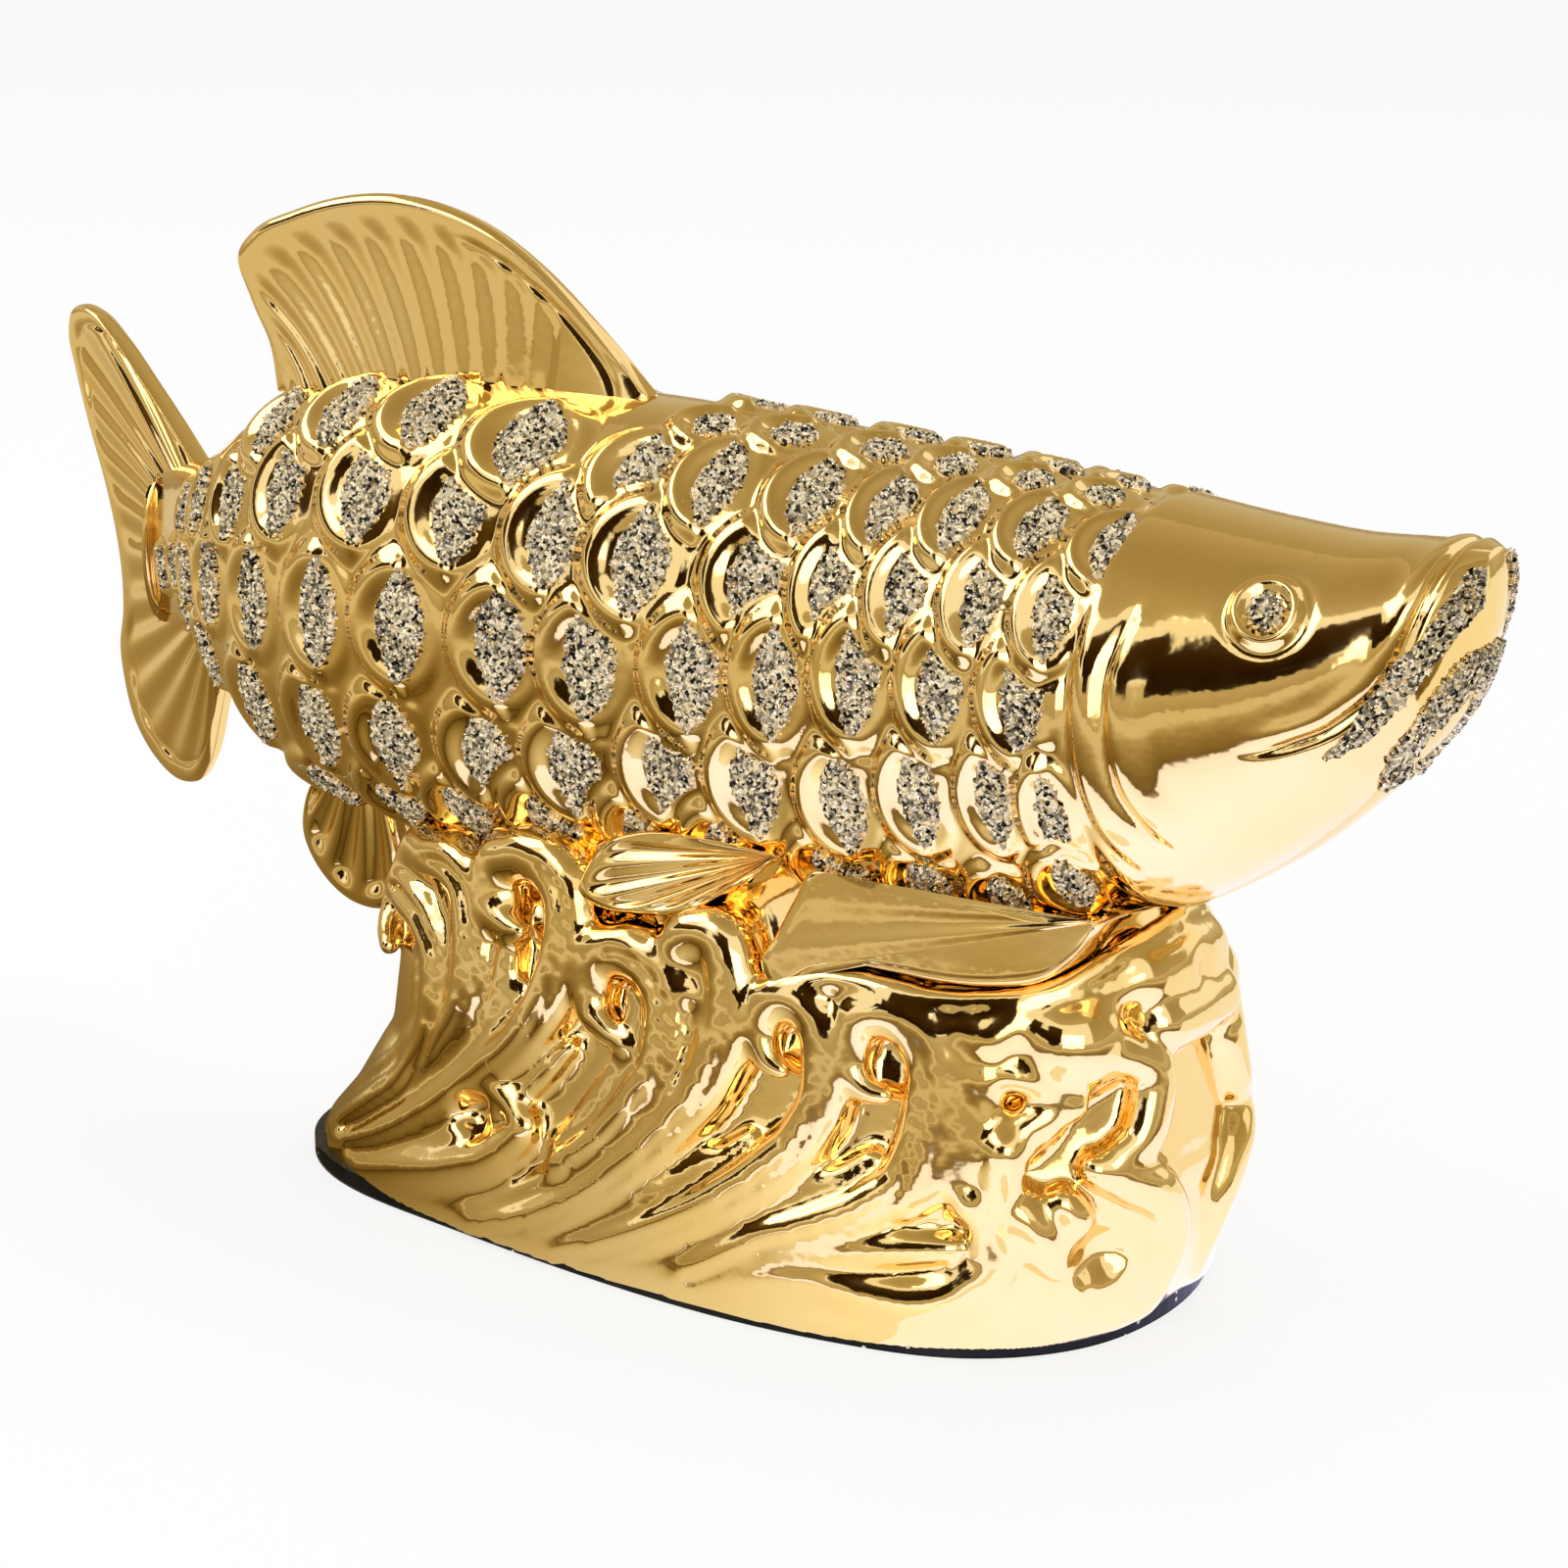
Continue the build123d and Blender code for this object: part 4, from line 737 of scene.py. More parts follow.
# Fins: plane origin, directions of the drawing's two axes, bow and reach behind the plane, share of the relief, free
# edge and root line, half thickness at root and edge, width of the rim, then the rays (count, first and last place
# along the edge, fading) and the grooves (first and last place, distance from the edge)
FIN_DRAWINGS = {
    "dorsal_fin": dict(
        origin=(0, 0, 0), axes=((1, 0, 0), (0, 0, 1)), bow=(2.0, 2.0), back=0, relief=0.44,
        edge=[(-30, 158.5), (-37, 166.5), (-44, 173), (-56, 182.5), (-67, 188.5), (-79, 191.8), (-91, 192.6),
              (-103, 191), (-115, 187.2), (-125, 182.5), (-129.3, 177.5), (-126.5, 169), (-122, 160), (-120.5, 150)],
        root=[(-33, 156), (-39, 156.4), (-47, 156.5), (-59, 156), (-76, 154.5), (-97, 151.5), (-117, 145.5)],
        root_half=4.4, edge_half=2.1, rim=2.6, rays=(12, 0.20, 0.985, 9.0), strips=((0.0, 0.42, 7.0),)),
    "tail_fin": dict(
        origin=(-164, 24, 0), axes=((-0.94, 0.342, 0), (0, 0, 1)), bow=(0, 0), back=0, relief=0.6,
        edge=[(-3, 126.5), (7, 133.5), (19, 141.2), (31, 148.5), (39.5, 152.2), (45, 152.6), (50.2, 150.2),
              (51.3, 146.3), (49, 138.8), (44, 127), (38, 115), (34.5, 106), (32.3, 96), (32.2, 87), (34.2, 78),
              (33, 71), (29.5, 63), (20, 55.4), (9.5, 53), (2.7, 55), (-1.5, 59.5), (-7, 71.5), (-10.5, 80.5)],
        root=[(-9, 122), (-10, 113), (-11, 104), (-12, 95), (-12, 87)],
        root_half=4.8, edge_half=2.0, rim=2.4, rays=(15, 0.10, 0.93, 6.5),
        strips=((0.0, 0.42, 6.0), (0.62, 1.0, 6.0))),
    "anal_fin": dict(
        origin=(0, 0, 0), axes=((1, 0, 0), (0, 0, 1)), bow=(0, 0), back=0, relief=1,
        edge=[(-112, 73), (-116.3, 66), (-117.3, 58), (-113, 50.4), (-105, 45.4), (-97, 45.4), (-91, 50), (-86, 60),
              (-84.2, 71)],
        root=[(-109, 77), (-98, 76.5), (-88, 75)],
        root_half=5.0, edge_half=1.9, rim=2.6, rays=(6, 0.08, 0.92, 5.0), strips=()),
}
PAIRED_DRAWINGS = {
    "pectoral_fin": dict(
        origin=(84, -26.5, 83), axes=((-1, -0.12, 0.02), (0.02, -0.17, -0.985)), bow=(0, 0), back=8.0, relief=0.1,
        edge=[(-1.8, -1.2), (1.4, 2.9), (4.8, 7.7), (10.4, 12.1), (19.6, 14.5), (30.2, 15.4), (39.6, 15.1),
              (48.3, 15.1), (55.6, 16.7), (63.4, 20.7), (64.8, 18), (62.3, 12.2), (59.3, 5.4), (56.1, -0.8),
              (48.4, 0.3), (40.8, 1), (25.1, 0.8), (12, 1.6), (5, 0)],
        root=[(1, 0.2), (0.6, -0.4), (1.2, -0.8)],
        root_half=2.2, edge_half=2.6, rim=2.6, rays=(2, 0.44, 0.62, 3.5), strips=((0.02, 0.5, 3.4),)),
    "pelvic_fin": dict(
        origin=(20, -29.5, 84), axes=((-1, -0.04, 0), (0.03, -0.2, -0.98)), bow=(0, 0), back=8.0, relief=0.8,
        edge=[(1.2, -0.5), (4.8, 3.2), (11.5, 7.9), (17.7, 11.7), (24.9, 14), (32.4, 14.9), (37.6, 15), (43.8, 12.5),
              (42.5, 7.4), (38.5, 2), (32.8, -0.6), (19.3, -2), (8, -2)],
        root=[(2.2, -0.2), (2, -0.7), (2.4, -1.2)],
        root_half=2.0, edge_half=3.2, rim=3.2, rays=(5, 0.2, 0.68, 6.0), strips=()),
}

# The fine grid of the fish, once it is made
MADE = {}


def settings():
    """The user's sizes and colours."""
    return bpy.context.scene.figurine_sizes, bpy.context.scene.figurine_colours


def fish_grid():
    """The one fine grid that the skin and all the grit share."""
    if "grid" not in MADE:
        MADE["grid"] = FishGrid()
    return MADE["grid"]


# Materials

def value_group(name, inputs, outputs):
    """An empty node group with float or colour sockets, and its two end nodes."""
    group = bpy.data.node_groups.new(name, "ShaderNodeTree")
    for direction, sockets in (("INPUT", inputs), ("OUTPUT", outputs)):
        for socket, kind, default in sockets:
            made = group.interface.new_socket(socket, in_out=direction, socket_type=kind)
            if default is not None:
                made.default_value = default
    return group, group.nodes.new("NodeGroupInput"), group.nodes.new("NodeGroupOutput")


def ramp(nodes, stops, constant=False):
    """Colour ramp from (position, grey or colour) stops."""
    node = nodes.new("ShaderNodeValToRGB")
    node.color_ramp.interpolation = "CONSTANT" if constant else "LINEAR"
    elements = node.color_ramp.elements
    while len(elements) < len(stops):
        elements.new(0.5)
    for element, (place, colour) in zip(elements, stops):
        element.position = place
        element.color = (*colour, 1) if isinstance(colour, (tuple, list)) else (colour, colour, colour, 1)
    return node


def feed(links, sockets, values):
    """Gives each input its value, which is a number, a colour or another node's output."""
    for socket, value in zip(sockets, values):
        if isinstance(value, bpy.types.NodeSocket):
            links.new(value, socket)
        else:
            socket.default_value = value


def mix_colour(nodes, links, factor, a, b):
    """Colour between a and b."""
    node = nodes.new("ShaderNodeMix")
    node.data_type = "RGBA"
    feed(links, (node.inputs[0], node.inputs[6], node.inputs[7]), (factor, a, b))
    return node.outputs[2]


def math_node(nodes, links, operation, a, b):
    """Result of a sum with two numbers."""
    node = nodes.new("ShaderNodeMath")
    node.operation = operation
    feed(links, node.inputs, (a, b))
    return node.outputs[0]


def noise(nodes, links, vector, scale, detail=2.0, rough=0.5):
    """Soft random values from 0 to 1."""
    node = nodes.new("ShaderNodeTexNoise")
    links.new(vector, node.inputs["Vector"])
    node.inputs["Scale"].default_value = scale
    node.inputs["Detail"].default_value = detail
    node.inputs["Roughness"].default_value = rough
    return node.outputs["Fac"]


def glaze_group():
    """Unevenness of dipped and plated ceramic: soft swells, orange peel, pinholes and a drifting tint."""
    if "Glaze Unevenness" in bpy.data.node_groups:
        return bpy.data.node_groups["Glaze Unevenness"]
    group, start, end = value_group(
        "Glaze Unevenness",
        [("Swell", "NodeSocketFloat", 0.5), ("Peel", "NodeSocketFloat", 0.2), ("Pinholes", "NodeSocketFloat", 0.3)],
        [("Tint", "NodeSocketFloat", None), ("Haze", "NodeSocketFloat", None), ("Height", "NodeSocketFloat", None)])
    nodes, links = group.nodes, group.links
    place = nodes.new("ShaderNodeTexCoord").outputs["Object"]
    swell = noise(nodes, links, place, 55, 1.5)
    peel = noise(nodes, links, place, 420, 1.0)
    cells = nodes.new("ShaderNodeTexVoronoi")
    links.new(place, cells.inputs["Vector"])
    cells.inputs["Scale"].default_value = 130
    rare = ramp(nodes, [(0.0, 1.0), (0.10, 1.0), (0.11, 0.0)])
    links.new(cells.outputs["Color"], rare.inputs[0])
    dot = ramp(nodes, [(0.0, 1.0), (0.045, 0.75), (0.075, 0.0)])
    links.new(cells.outputs["Distance"], dot.inputs[0])
    pin = math_node(nodes, links, "MULTIPLY", rare.outputs[0], dot.outputs[0])
    height = math_node(nodes, links, "MULTIPLY", swell, start.outputs["Swell"])
    height = math_node(nodes, links, "ADD", height, math_node(nodes, links, "MULTIPLY", peel, start.outputs["Peel"]))
    height = math_node(nodes, links, "ADD", height, math_node(nodes, links, "MULTIPLY", pin, start.outputs["Pinholes"]))
    links.new(height, end.inputs["Height"])
    drift = ramp(nodes, [(0.35, 0.0), (0.7, 1.0)])
    links.new(noise(nodes, links, place, 26, 3.0), drift.inputs[0])
    links.new(drift.outputs[0], end.inputs["Tint"])
    haze = ramp(nodes, [(0.4, 0.0), (0.75, 1.0)])
    links.new(noise(nodes, links, place, 90, 4.0, 0.6), haze.inputs[0])
    links.new(math_node(nodes, links, "MAXIMUM", haze.outputs[0], pin), end.inputs["Haze"])
    return group


def speck_group():
    """Broken crumbs: a random value for each crumb, its edges as a height, and a mask of the rarest crumbs."""
    if "Crumbs" in bpy.data.node_groups:
        return bpy.data.node_groups["Crumbs"]
    group, start, end = value_group(
        "Crumbs",
        [("Scale", "NodeSocketFloat", 1200.0), ("Share", "NodeSocketFloat", 0.1)],
        [("Pick", "NodeSocketFloat", None), ("Other", "NodeSocketFloat", None), ("Height", "NodeSocketFloat", None),
         ("Mask", "NodeSocketFloat", None)])
    nodes, links = group.nodes, group.links
    place = nodes.new("ShaderNodeTexCoord").outputs["Object"]
    cells = nodes.new("ShaderNodeTexVoronoi")
    links.new(place, cells.inputs["Vector"])
    links.new(start.outputs["Scale"], cells.inputs["Scale"])
    parts = nodes.new("ShaderNodeSeparateColor")
    links.new(cells.outputs["Color"], parts.inputs[0])
    links.new(parts.outputs[0], end.inputs["Pick"])
    links.new(parts.outputs[1], end.inputs["Other"])
    links.new(cells.outputs["Distance"], end.inputs["Height"])
    rare = math_node(nodes, links, "LESS_THAN", parts.outputs[2], start.outputs["Share"])
    close = math_node(nodes, links, "LESS_THAN", cells.outputs["Distance"], 0.32)
    links.new(math_node(nodes, links, "MULTIPLY", rare, close), end.inputs["Mask"])
    return group


def new_material(name):
    """A new material, its nodes and links, and its Principled shader."""
    material = bpy.data.materials.new(name)
    material.use_nodes = True
    return material, material.node_tree.nodes, material.node_tree.links, material.node_tree.nodes["Principled BSDF"]


def group_node(nodes, tree, **values):
    """Outputs of a node group with some values on its inputs."""
    node = nodes.new("ShaderNodeGroup")
    node.node_tree = tree
    for name, value in values.items():
        node.inputs[name].default_value = value
    return node.outputs


def roughness(nodes, links, shader, mask, low, high):
    """Roughness that runs with a mask from low to high."""
    rough = nodes.new("ShaderNodeMapRange")
    links.new(mask, rough.inputs["Value"])
    rough.inputs["To Min"].default_value = low
    rough.inputs["To Max"].default_value = high
    links.new(rough.outputs[0], shader.inputs["Roughness"])


def bump(nodes, links, shader, height, distance, strength=1.0):
    """Fine relief in the shader's normals, its height in metres."""
    node = nodes.new("ShaderNodeBump")
    node.inputs["Strength"].default_value = strength
    node.inputs["Distance"].default_value = distance
    links.new(height, node.inputs["Height"])
    links.new(node.outputs["Normal"], shader.inputs["Normal"])


def plated_gold():
    """Mirror gold plating over dipped ceramic, with painted shade that deepens its colour in the recesses."""
    if "plated_gold" in bpy.data.materials:
        return bpy.data.materials["plated_gold"]
    colours = settings()[1]
    material, nodes, links, shader = new_material("plated_gold")
    glaze = group_node(nodes, glaze_group())
    colour = mix_colour(nodes, links, glaze["Tint"], (*colours.gold, 1), (*colours.gold_warm, 1))
    # Painted shade: where pointiness finds a recess, the colour is mixed towards the deeper gold, painting in the
    # darker, warmer light that bounces between gold walls there
    point = nodes.new("ShaderNodeNewGeometry").outputs["Pointiness"]
    painted_recess_shade = ramp(nodes, [(0.40, 1.0), (0.485, 0.0)])
    links.new(point, painted_recess_shade.inputs[0])
    links.new(mix_colour(nodes, links, math_node(nodes, links, "MULTIPLY", painted_recess_shade.outputs[0], 0.35), colour,
                         (*colours.gold_recess_shade, 1)), shader.inputs["Base Color"])
    roughness(nodes, links, shader, glaze["Haze"], 0.06, 0.13)
    shader.inputs["Metallic"].default_value = 1.0
    bump(nodes, links, shader, glaze["Height"], 0.00018)
    return material


def crushed_glass():
    """Mirror-backed glass grit: black, smoky, silver and white crumbs."""
    if "crushed_glass" in bpy.data.materials:
        return bpy.data.materials["crushed_glass"]
    colours = settings()[1]
    material, nodes, links, shader = new_material("crushed_glass")
    crumbs = group_node(nodes, speck_group(), Scale=1500.0, Share=0.2)
    dark, pale = Vector(colours.grit_dark), Vector(colours.grit_pale)
    steps = ramp(nodes, [(0.0, tuple(dark)), (0.18, tuple(dark.lerp(pale, 0.2))), (0.34, tuple(dark.lerp(pale, 0.46))),
                         (0.52, tuple(dark.lerp(pale, 0.74))), (0.72, tuple(pale))], constant=True)
    links.new(crumbs["Pick"], steps.inputs[0])
    links.new(mix_colour(nodes, links, crumbs["Mask"], steps.outputs[0], (0.95, 0.94, 0.90, 1)),
              shader.inputs["Base Color"])
    silver = ramp(nodes, [(0.0, 0.0), (0.55, 0.85)], constant=True)
    links.new(crumbs["Other"], silver.inputs[0])
    links.new(silver.outputs[0], shader.inputs["Metallic"])
    shader.inputs["Specular IOR Level"].default_value = 0.3
    roughness(nodes, links, shader, crumbs["Other"], 0.45, 0.16)
    bump(nodes, links, shader, crumbs["Height"], 0.0004, 0.7)
    return material


def sole_lacquer():
    """Glossy black lacquer with stray white crumbs."""
    if "speckled_lacquer" in bpy.data.materials:
        return bpy.data.materials["speckled_lacquer"]
    colours = settings()[1]
    material, nodes, links, shader = new_material("speckled_lacquer")
    crumbs = group_node(nodes, speck_group(), Scale=650.0, Share=0.035)
    glaze = group_node(nodes, glaze_group(), Swell=1.0)
    worn = mix_colour(nodes, links, glaze["Haze"], (*colours.sole, 1), (0.02, 0.019, 0.018, 1))
    links.new(mix_colour(nodes, links, crumbs["Mask"], worn, (0.85, 0.83, 0.78, 1)), shader.inputs["Base Color"])
    roughness(nodes, links, shader, glaze["Haze"], 0.18, 0.36)
    shader.inputs["Specular IOR Level"].default_value = 0.12
    bump(nodes, links, shader, glaze["Height"], 0.0004)
    return material


# User settings

class FigurineSizes(bpy.types.PropertyGroup):
    """Sizes of the relief that a user may change before the figurine is built."""

    scale_relief: bpy.props.FloatProperty(
        name="Scale relief", description="Height of a scale's rounded rim", default=2.4 * MM, min=0, max=3 * MM,
        unit="LENGTH", precision=5)
    grit_height: bpy.props.FloatProperty(
        name="Grit height", description="Most that a glass crumb stands out", default=1.25 * MM, min=0.4 * MM,
        max=2 * MM, unit="LENGTH", precision=5)
    ray_relief: bpy.props.FloatProperty(
        name="Fin ray relief", description="Height of the ridges on the fins", default=0.62 * MM, min=0, max=1.2 * MM,
        unit="LENGTH", precision=5)
    wave_step: bpy.props.FloatProperty(
        name="Wave grid", description="Grid on which the waves are formed", default=0.75 * MM, min=0.5 * MM,
        max=2 * MM, unit="LENGTH", precision=5)


class FigurineColours(bpy.types.PropertyGroup):
    """Colours of the finishes, and the deeper gold that paints shade into the plating's recesses."""

    gold: bpy.props.FloatVectorProperty(
        name="Gold", description="Plating where it is thick", subtype="COLOR", default=(0.98, 0.725, 0.33),
        min=0, max=1)
    gold_warm: bpy.props.FloatVectorProperty(
        name="Warm gold", description="Plating where it drifts warmer", subtype="COLOR", default=(0.97, 0.68, 0.25),
        min=0, max=1)
    # Painted shade: the deeper gold painted into recesses stands in for light bouncing between gold walls there
    gold_recess_shade: bpy.props.FloatVectorProperty(
        name="Deep gold", description="Plating in the recesses", subtype="COLOR", default=(0.90, 0.53, 0.11),
        min=0, max=1)
    grit_pale: bpy.props.FloatVectorProperty(
        name="Pale grit", description="Lightest common glass crumb", subtype="COLOR", default=(1.0, 0.85, 0.58),
        min=0, max=1)
    grit_dark: bpy.props.FloatVectorProperty(
        name="Dark grit", description="Darkest glass crumb", subtype="COLOR", default=(0.012, 0.010, 0.008),
        min=0, max=1)
    sole: bpy.props.FloatVectorProperty(
        name="Sole", description="Lacquer of the sole", subtype="COLOR", default=(0.006, 0.006, 0.006), min=0, max=1)
    floor: bpy.props.FloatVectorProperty(
        name="Floor", description="Pale floor of the studio", subtype="COLOR", default=(0.93, 0.93, 0.93), min=0, max=1)


# Operators

class FIGURINE_OT_skin(bpy.types.Operator):
    """Forms the fish with its overlapping scales, gill folds, eye rings and mouth"""

    bl_idname = "figurine.skin"
    bl_label = "Fish Skin"

    def execute(self, context):
        fish_grid().make_skin()
        return {"FINISHED"}


class FIGURINE_OT_grit(bpy.types.Operator):
    """Lays crushed glass in the scales, the eyes and the bands at the mouth"""

    bl_idname = "figurine.grit"
    bl_label = "Glass Grit"

    def execute(self, context):
        grid = fish_grid()
        for index, node in enumerate(grid.groups):
            grid.make_grit(index, node)
        return {"FINISHED"}


class FIGURINE_OT_fins(bpy.types.Operator):
    """Forms the ribbed fins"""

    bl_idname = "figurine.fins"
    bl_label = "Fins"

    def execute(self, context):
        for name, drawing in FIN_DRAWINGS.items():
            fin_piece(name, drawing)
        for name, drawing in PAIRED_DRAWINGS.items():
            for side, word in FLANKS:
                fin_piece(f"{name}_{word}", drawing, side)
        return {"FINISHED"}


class FIGURINE_OT_waves(bpy.types.Operator):
    """Forms the curling waves under the fish"""

    bl_idname = "figurine.waves"
    bl_label = "Wave Base"

    def execute(self, context):
        points, quads = wave_surface(settings()[0].wave_step / MM)
        mesh_piece("wave_form", points, [quads], plated_gold(), "wave_base")
        return {"FINISHED"}


class FIGURINE_OT_sole(bpy.types.Operator):
    """Gives the sole its speckled black lacquer"""

    bl_idname = "figurine.sole"
    bl_label = "Sole"

    def execute(self, context):
        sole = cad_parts["base_sole"]
        sole.data.materials.clear()
        sole.data.materials.append(sole_lacquer())
        return {"FINISHED"}


class FIGURINE_OT_stage(bpy.types.Operator):
    """Sets the pale floor, the soft lamps, the reflecting cards and the camera"""

    bl_idname = "figurine.stage"
    bl_label = "Stage"

    def execute(self, context):
        context.scene.view_settings.view_transform = "Standard"
        floor()
        sky()
        for card in CARDS:
            wall_card(*card)
        for card in CARD_FLOORS:
            floor_card(*card)
        for lamp in LAMPS:
            soft_lamp(*lamp)
        camera()
        return {"FINISHED"}


# Lamps: name, azimuth and height in degrees, distance, size, watts, all aimed at the fish
LAMPS = [
    ("lamp_strip", -36, 43, 1.7, (0.72, 0.56), 2.4),
    ("lamp_left", -78, 40, 1.7, (0.9, 0.8), 5.0),
    ("lamp_right", 36, 15, 1.7, (1.0, 0.85), 5.0),
    ("lamp_top", 165, 66, 1.7, (1.3, 0.8), 7.0),
]
# Walls of the studio, seen only in the plating: azimuths, heights, distance, greys at the lower and the upper rim
CARDS = [
    ("card_wall", (-42, 180), (-2.2, 10), 3.0, (0.42, 0.62)),
    ("card_wall_left", (-180, -42), (-2.2, 10), 3.0, (0.36, 0.50)),
    ("card_window", (-60, 22), (10, 12.5), 2.9, (0.95, 0.95)),
    ("card_room", (-19, 4), (12, 30), 2.6, (0.012, 0.03)),
    ("card_room_low", (-9, 12), (7, 13), 2.5, (0.015, 0.02)),
    ("card_room_high", (-11, 17), (13, 41), 2.55, (0.015, 0.05)),
    ("card_room_step", (-25, -18), (19, 26), 2.5, (0.015, 0.02)),
    ("card_room_left", (-72, -36), (13, 27), 2.6, (0.02, 0.10)),
    ("card_side_left", (-180, -75), (10, 50), 2.7, (0.60, 0.42)),
    ("card_side_right", (70, 130), (10, 50), 2.7, (0.46, 0.38)),
    ("card_ceiling", (-180, 180), (50, 89), 2.8, (0.52, 0.36)),
]
# Table and floor beyond it, seen only in the plating: nearest and farthest reach, azimuths, greys at both, tint
CARD_FLOORS = [
    ("card_table", (0.02, 0.2), (-66, 222), (1.35, 1.2), (0.94, 0.91, 1.14)),
    ("card_table_left", (0.02, 0.2), (-138, -66), (1.3, 0.05), (1, 1, 1)),
    ("card_edge", (0.2, 0.225), (-120, 120), (0.2, 0.13), (1, 1, 1)),
    ("card_floor", (0.225, 2.9), (-120, 120), (0.20, 0.7), (1, 0.98, 0.95)),
]
# Middle of the table in the plating, and the greatest reach over which its grey changes
TABLE, TABLE_SHADED = (0.09, -0.09), 0.9
AIM = Vector((0, 0, 0.09))
# The dimmer a card is, the warmer: powers of its grey for red, green and blue
WARMTH = (1.0, 1.22, 1.9)
# Camera: azimuth and height in degrees, distance, point in the middle of the picture, sensor and focal length
VIEW, VIEW_DISTANCE, VIEW_MIDDLE = (33, 17), 0.85, Vector((0, 0, 0.088))
SENSOR, FOCAL = 36.0, 102.6
# Side of the floor, and how strongly it glows by itself
FLOOR_SIDE, FLOOR_GLOW = 30, 0.78


def aimed(thing, place):
    """Puts a thing in its place and turns it to the fish."""
    thing.location = place
    thing.rotation_euler = (AIM - Vector(place)).to_track_quat("-Z", "Y").to_euler()
    bpy.context.scene.collection.objects.link(thing)
    return thing


def heading(azimuth, height):
    """Direction seen from the fish: azimuth from the front towards the head end, and height over the horizon."""
    azimuth, height = np.radians(azimuth), np.radians(height)
    return np.stack([np.sin(azimuth) * np.cos(height), -np.cos(azimuth) * np.cos(height), np.sin(height)], -1)


def soft_lamp(name, azimuth, height, distance, size, watts):
    """A large lamp that is aimed at the fish and isn't seen itself."""
    lamp = bpy.data.lights.new(name, "AREA")
    lamp.shape, lamp.size, lamp.size_y, lamp.energy = "RECTANGLE", *size, watts
    thing = aimed(bpy.data.objects.new(name, lamp), AIM + Vector(heading(azimuth, height)) * distance)
    thing.visible_camera = False
    thing.visible_glossy = name != "lamp_top"


def reflecting_card(name, points, along, span, greys, tint=(1, 1, 1)):
    """A curved card that only the plating sees, shaded over a span of its height (Z) or of its reach (LENGTH)."""
    material = bpy.data.materials.new(name)
    material.use_nodes = True
    nodes, links = material.node_tree.nodes, material.node_tree.links
    nodes.remove(nodes["Principled BSDF"])
    place = nodes.new("ShaderNodeVectorMath")
    place.operation = "LENGTH"
    links.new(nodes.new("ShaderNodeTexCoord").outputs["Object"], place.inputs[0])
    height = nodes.new("ShaderNodeSeparateXYZ")
    links.new(nodes.new("ShaderNodeTexCoord").outputs["Object"], height.inputs[0])
    shade = nodes.new("ShaderNodeMapRange")
    links.new(height.outputs["Z"] if along == "Z" else place.outputs["Value"], shade.inputs["Value"])
    for socket, value in zip(("From Min", "From Max", "To Min", "To Max"), (*span, *greys)):
        shade.inputs[socket].default_value = value
    warm = nodes.new("ShaderNodeCombineColor")
    for channel, (power, share) in enumerate(zip(WARMTH, tint)):
        tone = math_node(nodes, links, "POWER", shade.outputs[0], power)
        links.new(math_node(nodes, links, "MULTIPLY", tone, share), warm.inputs[channel])
    glow = nodes.new("ShaderNodeEmission")
    links.new(warm.outputs[0], glow.inputs["Color"])
    links.new(glow.outputs[0], nodes["Material Output"].inputs["Surface"])
    mesh = bpy.data.meshes.new(name)
    mesh.from_pydata(points.reshape(-1, 3).tolist(), [], sheet_quads(*points.shape[:2])[1].tolist())
    mesh.materials.append(material)
    card = bpy.data.objects.new(name, mesh)
    bpy.context.scene.collection.objects.link(card)
    card.visible_camera = card.visible_diffuse = card.visible_shadow = False


def wall_card(name, azimuths, heights, distance, greys):
    """A card that stands round the fish."""
    azimuth, height = np.meshgrid(np.linspace(*azimuths, 49), np.linspace(*heights, 13), indexing="ij")
    points = heading(azimuth, height) * distance + np.array(AIM)
    reflecting_card(name, points, "Z", (points[..., 2].min(), points[..., 2].max()), greys)


def floor_card(name, reaches, azimuths, greys, tint):
    """A card that lies round the base, just over the floor."""
    turn, reach = np.meshgrid(np.linspace(*azimuths, 97), np.geomspace(*reaches, 9), indexing="ij")
    points = heading(turn, 0 * turn) * reach[..., None]
    reflecting_card(name, points, "LENGTH", (reaches[0], min(reaches[1], TABLE_SHADED)), greys, tint)
    bpy.data.objects[name].location = (*TABLE, 0.0004)


def seen_ray(nodes, links):
    """1 where the camera sees a thing, directly, in metal or through glass."""
    path = nodes.new("ShaderNodeLightPath")
    seen = math_node(nodes, links, "MAXIMUM", path.outputs["Is Camera Ray"], path.outputs["Is Glossy Ray"])
    return math_node(nodes, links, "MAXIMUM", seen, path.outputs["Is Transmission Ray"])


def floor():
    """The pale floor, which glows a little where the camera sees it."""
    material, nodes, links, shader = new_material("pale_floor")
    colours = settings()[1]
    place = nodes.new("ShaderNodeTexCoord").outputs["Object"]
    shader.inputs["Roughness"].default_value = 0.85
    shader.inputs["Specular IOR Level"].default_value = 0.1
    links.new(mix_colour(nodes, links, noise(nodes, links, place, 3.0), (*colours.floor, 1),
                         (*[c * 0.985 for c in colours.floor], 1)), shader.inputs["Base Color"])
    white = nodes.new("ShaderNodeEmission")
    mix = nodes.new("ShaderNodeMixShader")
    links.new(math_node(nodes, links, "MULTIPLY", seen_ray(nodes, links), FLOOR_GLOW), mix.inputs[0])
    links.new(shader.outputs[0], mix.inputs[1])
    links.new(white.outputs[0], mix.inputs[2])
    links.new(mix.outputs[0], nodes["Material Output"].inputs["Surface"])
    mesh = bpy.data.meshes.new("pale_floor")
    half = FLOOR_SIDE / 2
    mesh.from_pydata([(-half, -half, 0), (half, -half, 0), (half, half, 0), (-half, half, 0)], [], [(0, 1, 2, 3)])
    mesh.materials.append(material)
    ground = bpy.data.objects.new("pale_floor", mesh)
    bpy.context.scene.collection.objects.link(ground)


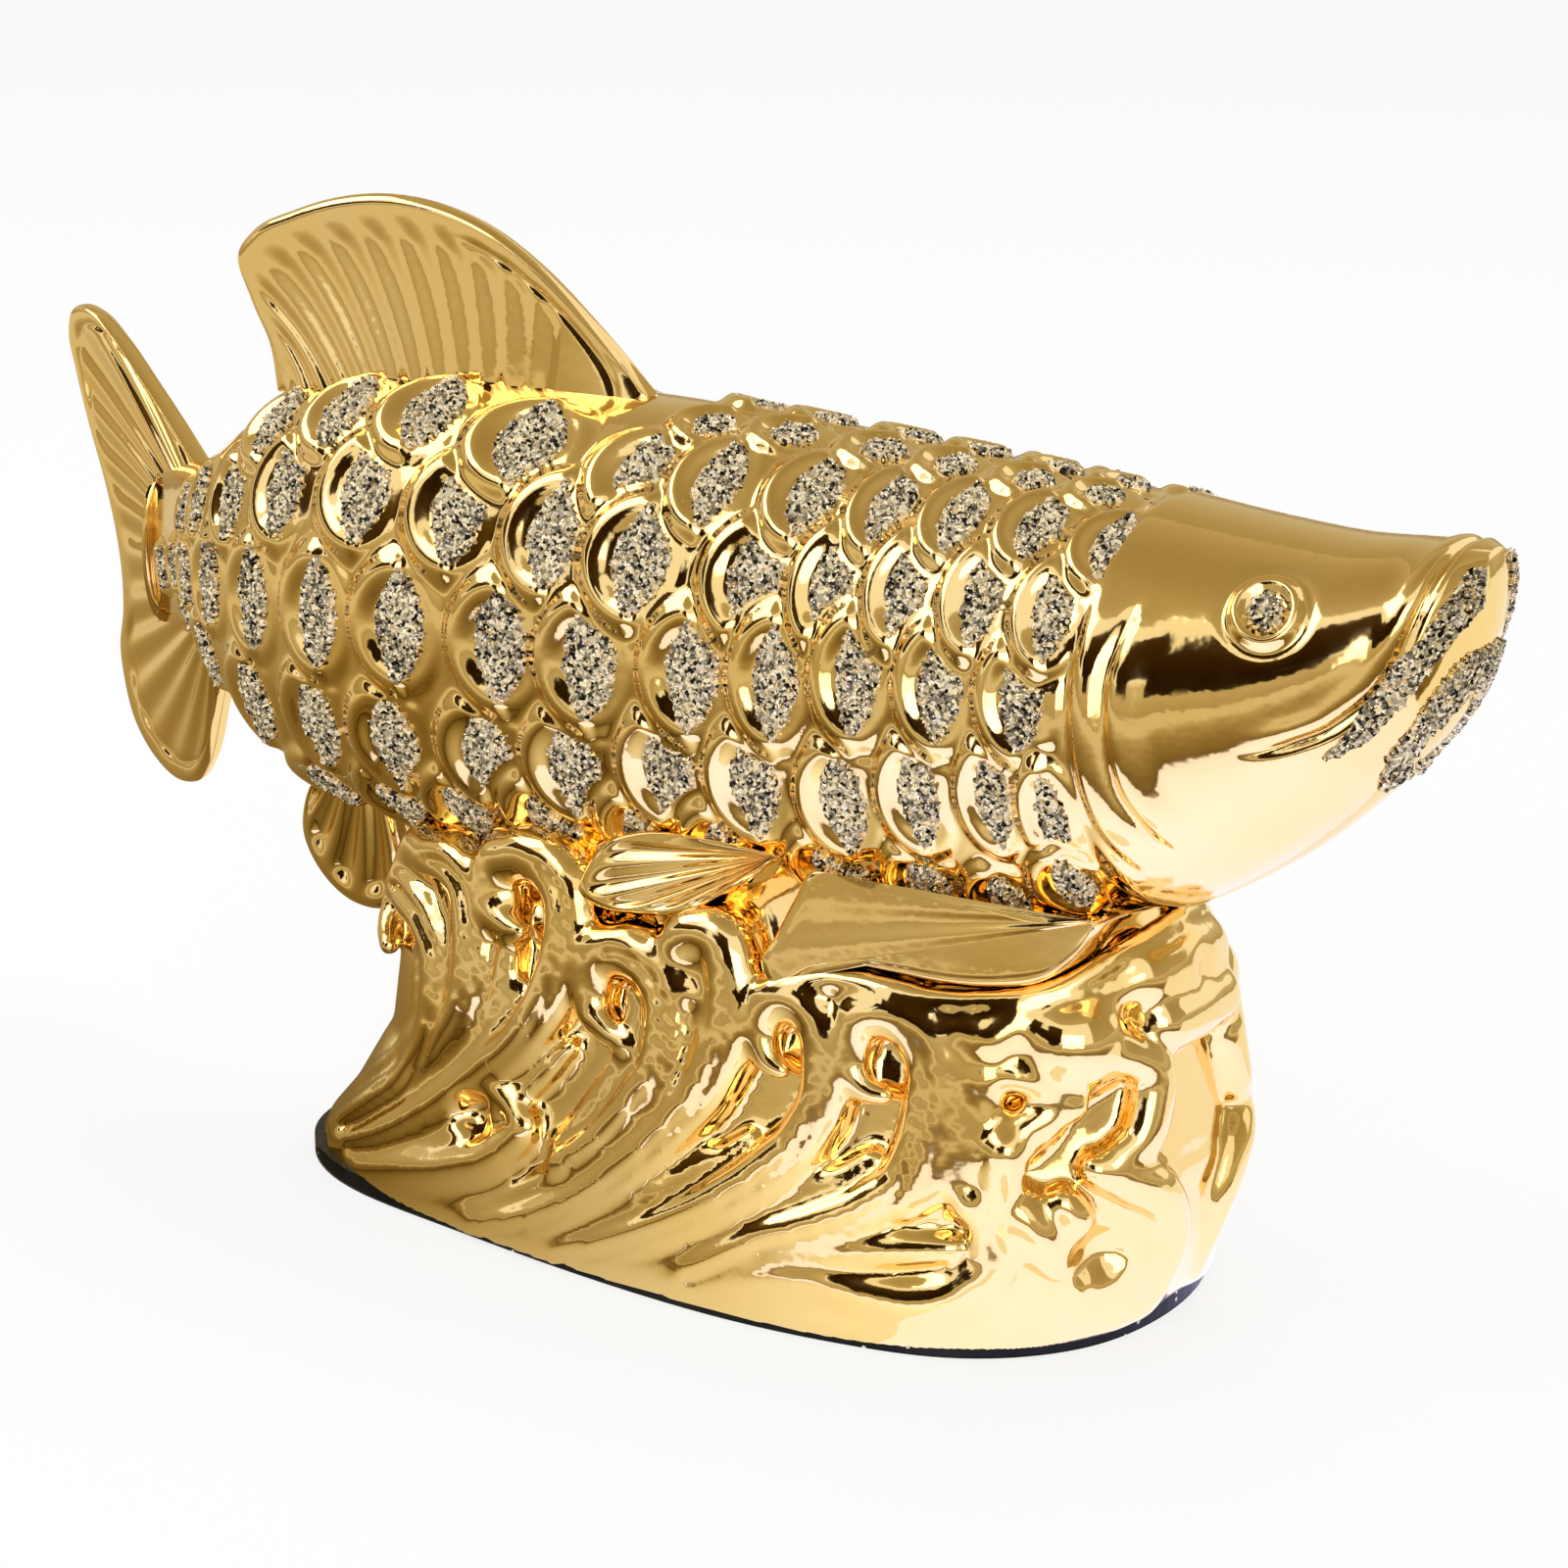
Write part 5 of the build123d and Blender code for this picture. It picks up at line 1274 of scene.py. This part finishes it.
def sky():
    """White round the object for the eye and for reflections, and a softer level of light for the rest."""
    world = bpy.data.worlds.new("studio")
    bpy.context.scene.world = world
    world.use_nodes = True
    nodes, links = world.node_tree.nodes, world.node_tree.links
    nodes.clear()
    seen = seen_ray(nodes, links)
    soft, white = nodes.new("ShaderNodeBackground"), nodes.new("ShaderNodeBackground")
    soft.inputs["Strength"].default_value = 0.7
    for background in (soft, white):
        background.inputs["Color"].default_value = (1, 1, 1, 1)
    mix = nodes.new("ShaderNodeMixShader")
    links.new(seen, mix.inputs[0])
    links.new(soft.outputs[0], mix.inputs[1])
    links.new(white.outputs[0], mix.inputs[2])
    links.new(mix.outputs[0], nodes.new("ShaderNodeOutputWorld").inputs["Surface"])


def camera():
    """The camera, where the photograph was taken from."""
    back = Vector(heading(*VIEW))
    data = bpy.data.cameras.new("camera")
    data.sensor_width, data.lens, data.clip_start = SENSOR, FOCAL, 0.01
    thing = bpy.data.objects.new("camera", data)
    thing.location = VIEW_MIDDLE + back * VIEW_DISTANCE
    thing.rotation_euler = (-back).to_track_quat("-Z", "Y").to_euler()
    bpy.context.scene.collection.objects.link(thing)
    bpy.context.scene.camera = thing


class FIGURINE_PT_panel(bpy.types.Panel):
    """Lists the steps and settings of the figurine"""

    bl_label = "Figurine"
    bl_idname = "FIGURINE_PT_panel"
    bl_space_type = "VIEW_3D"
    bl_region_type = "UI"
    bl_category = "Figurine"

    def draw(self, context):
        for group in settings():
            box = self.layout.box()
            for name in group.__annotations__:
                box.prop(group, name)
        for step in STEPS:
            self.layout.operator(step.bl_idname)


STEPS = (FIGURINE_OT_skin, FIGURINE_OT_grit, FIGURINE_OT_fins, FIGURINE_OT_waves, FIGURINE_OT_sole, FIGURINE_OT_stage)
CLASSES = (FigurineSizes, FigurineColours, *STEPS, FIGURINE_PT_panel)


def register():
    for cls in CLASSES:
        bpy.utils.register_class(cls)
    bpy.types.Scene.figurine_sizes = bpy.props.PointerProperty(type=FigurineSizes)
    bpy.types.Scene.figurine_colours = bpy.props.PointerProperty(type=FigurineColours)


def unregister():
    del bpy.types.Scene.figurine_colours
    del bpy.types.Scene.figurine_sizes
    for cls in reversed(CLASSES):
        bpy.utils.unregister_class(cls)


def main():
    register()
    for step in STEPS:
        group, name = step.bl_idname.split(".")
        getattr(getattr(bpy.ops, group), name)()


if __name__ == "__main__":
    main()
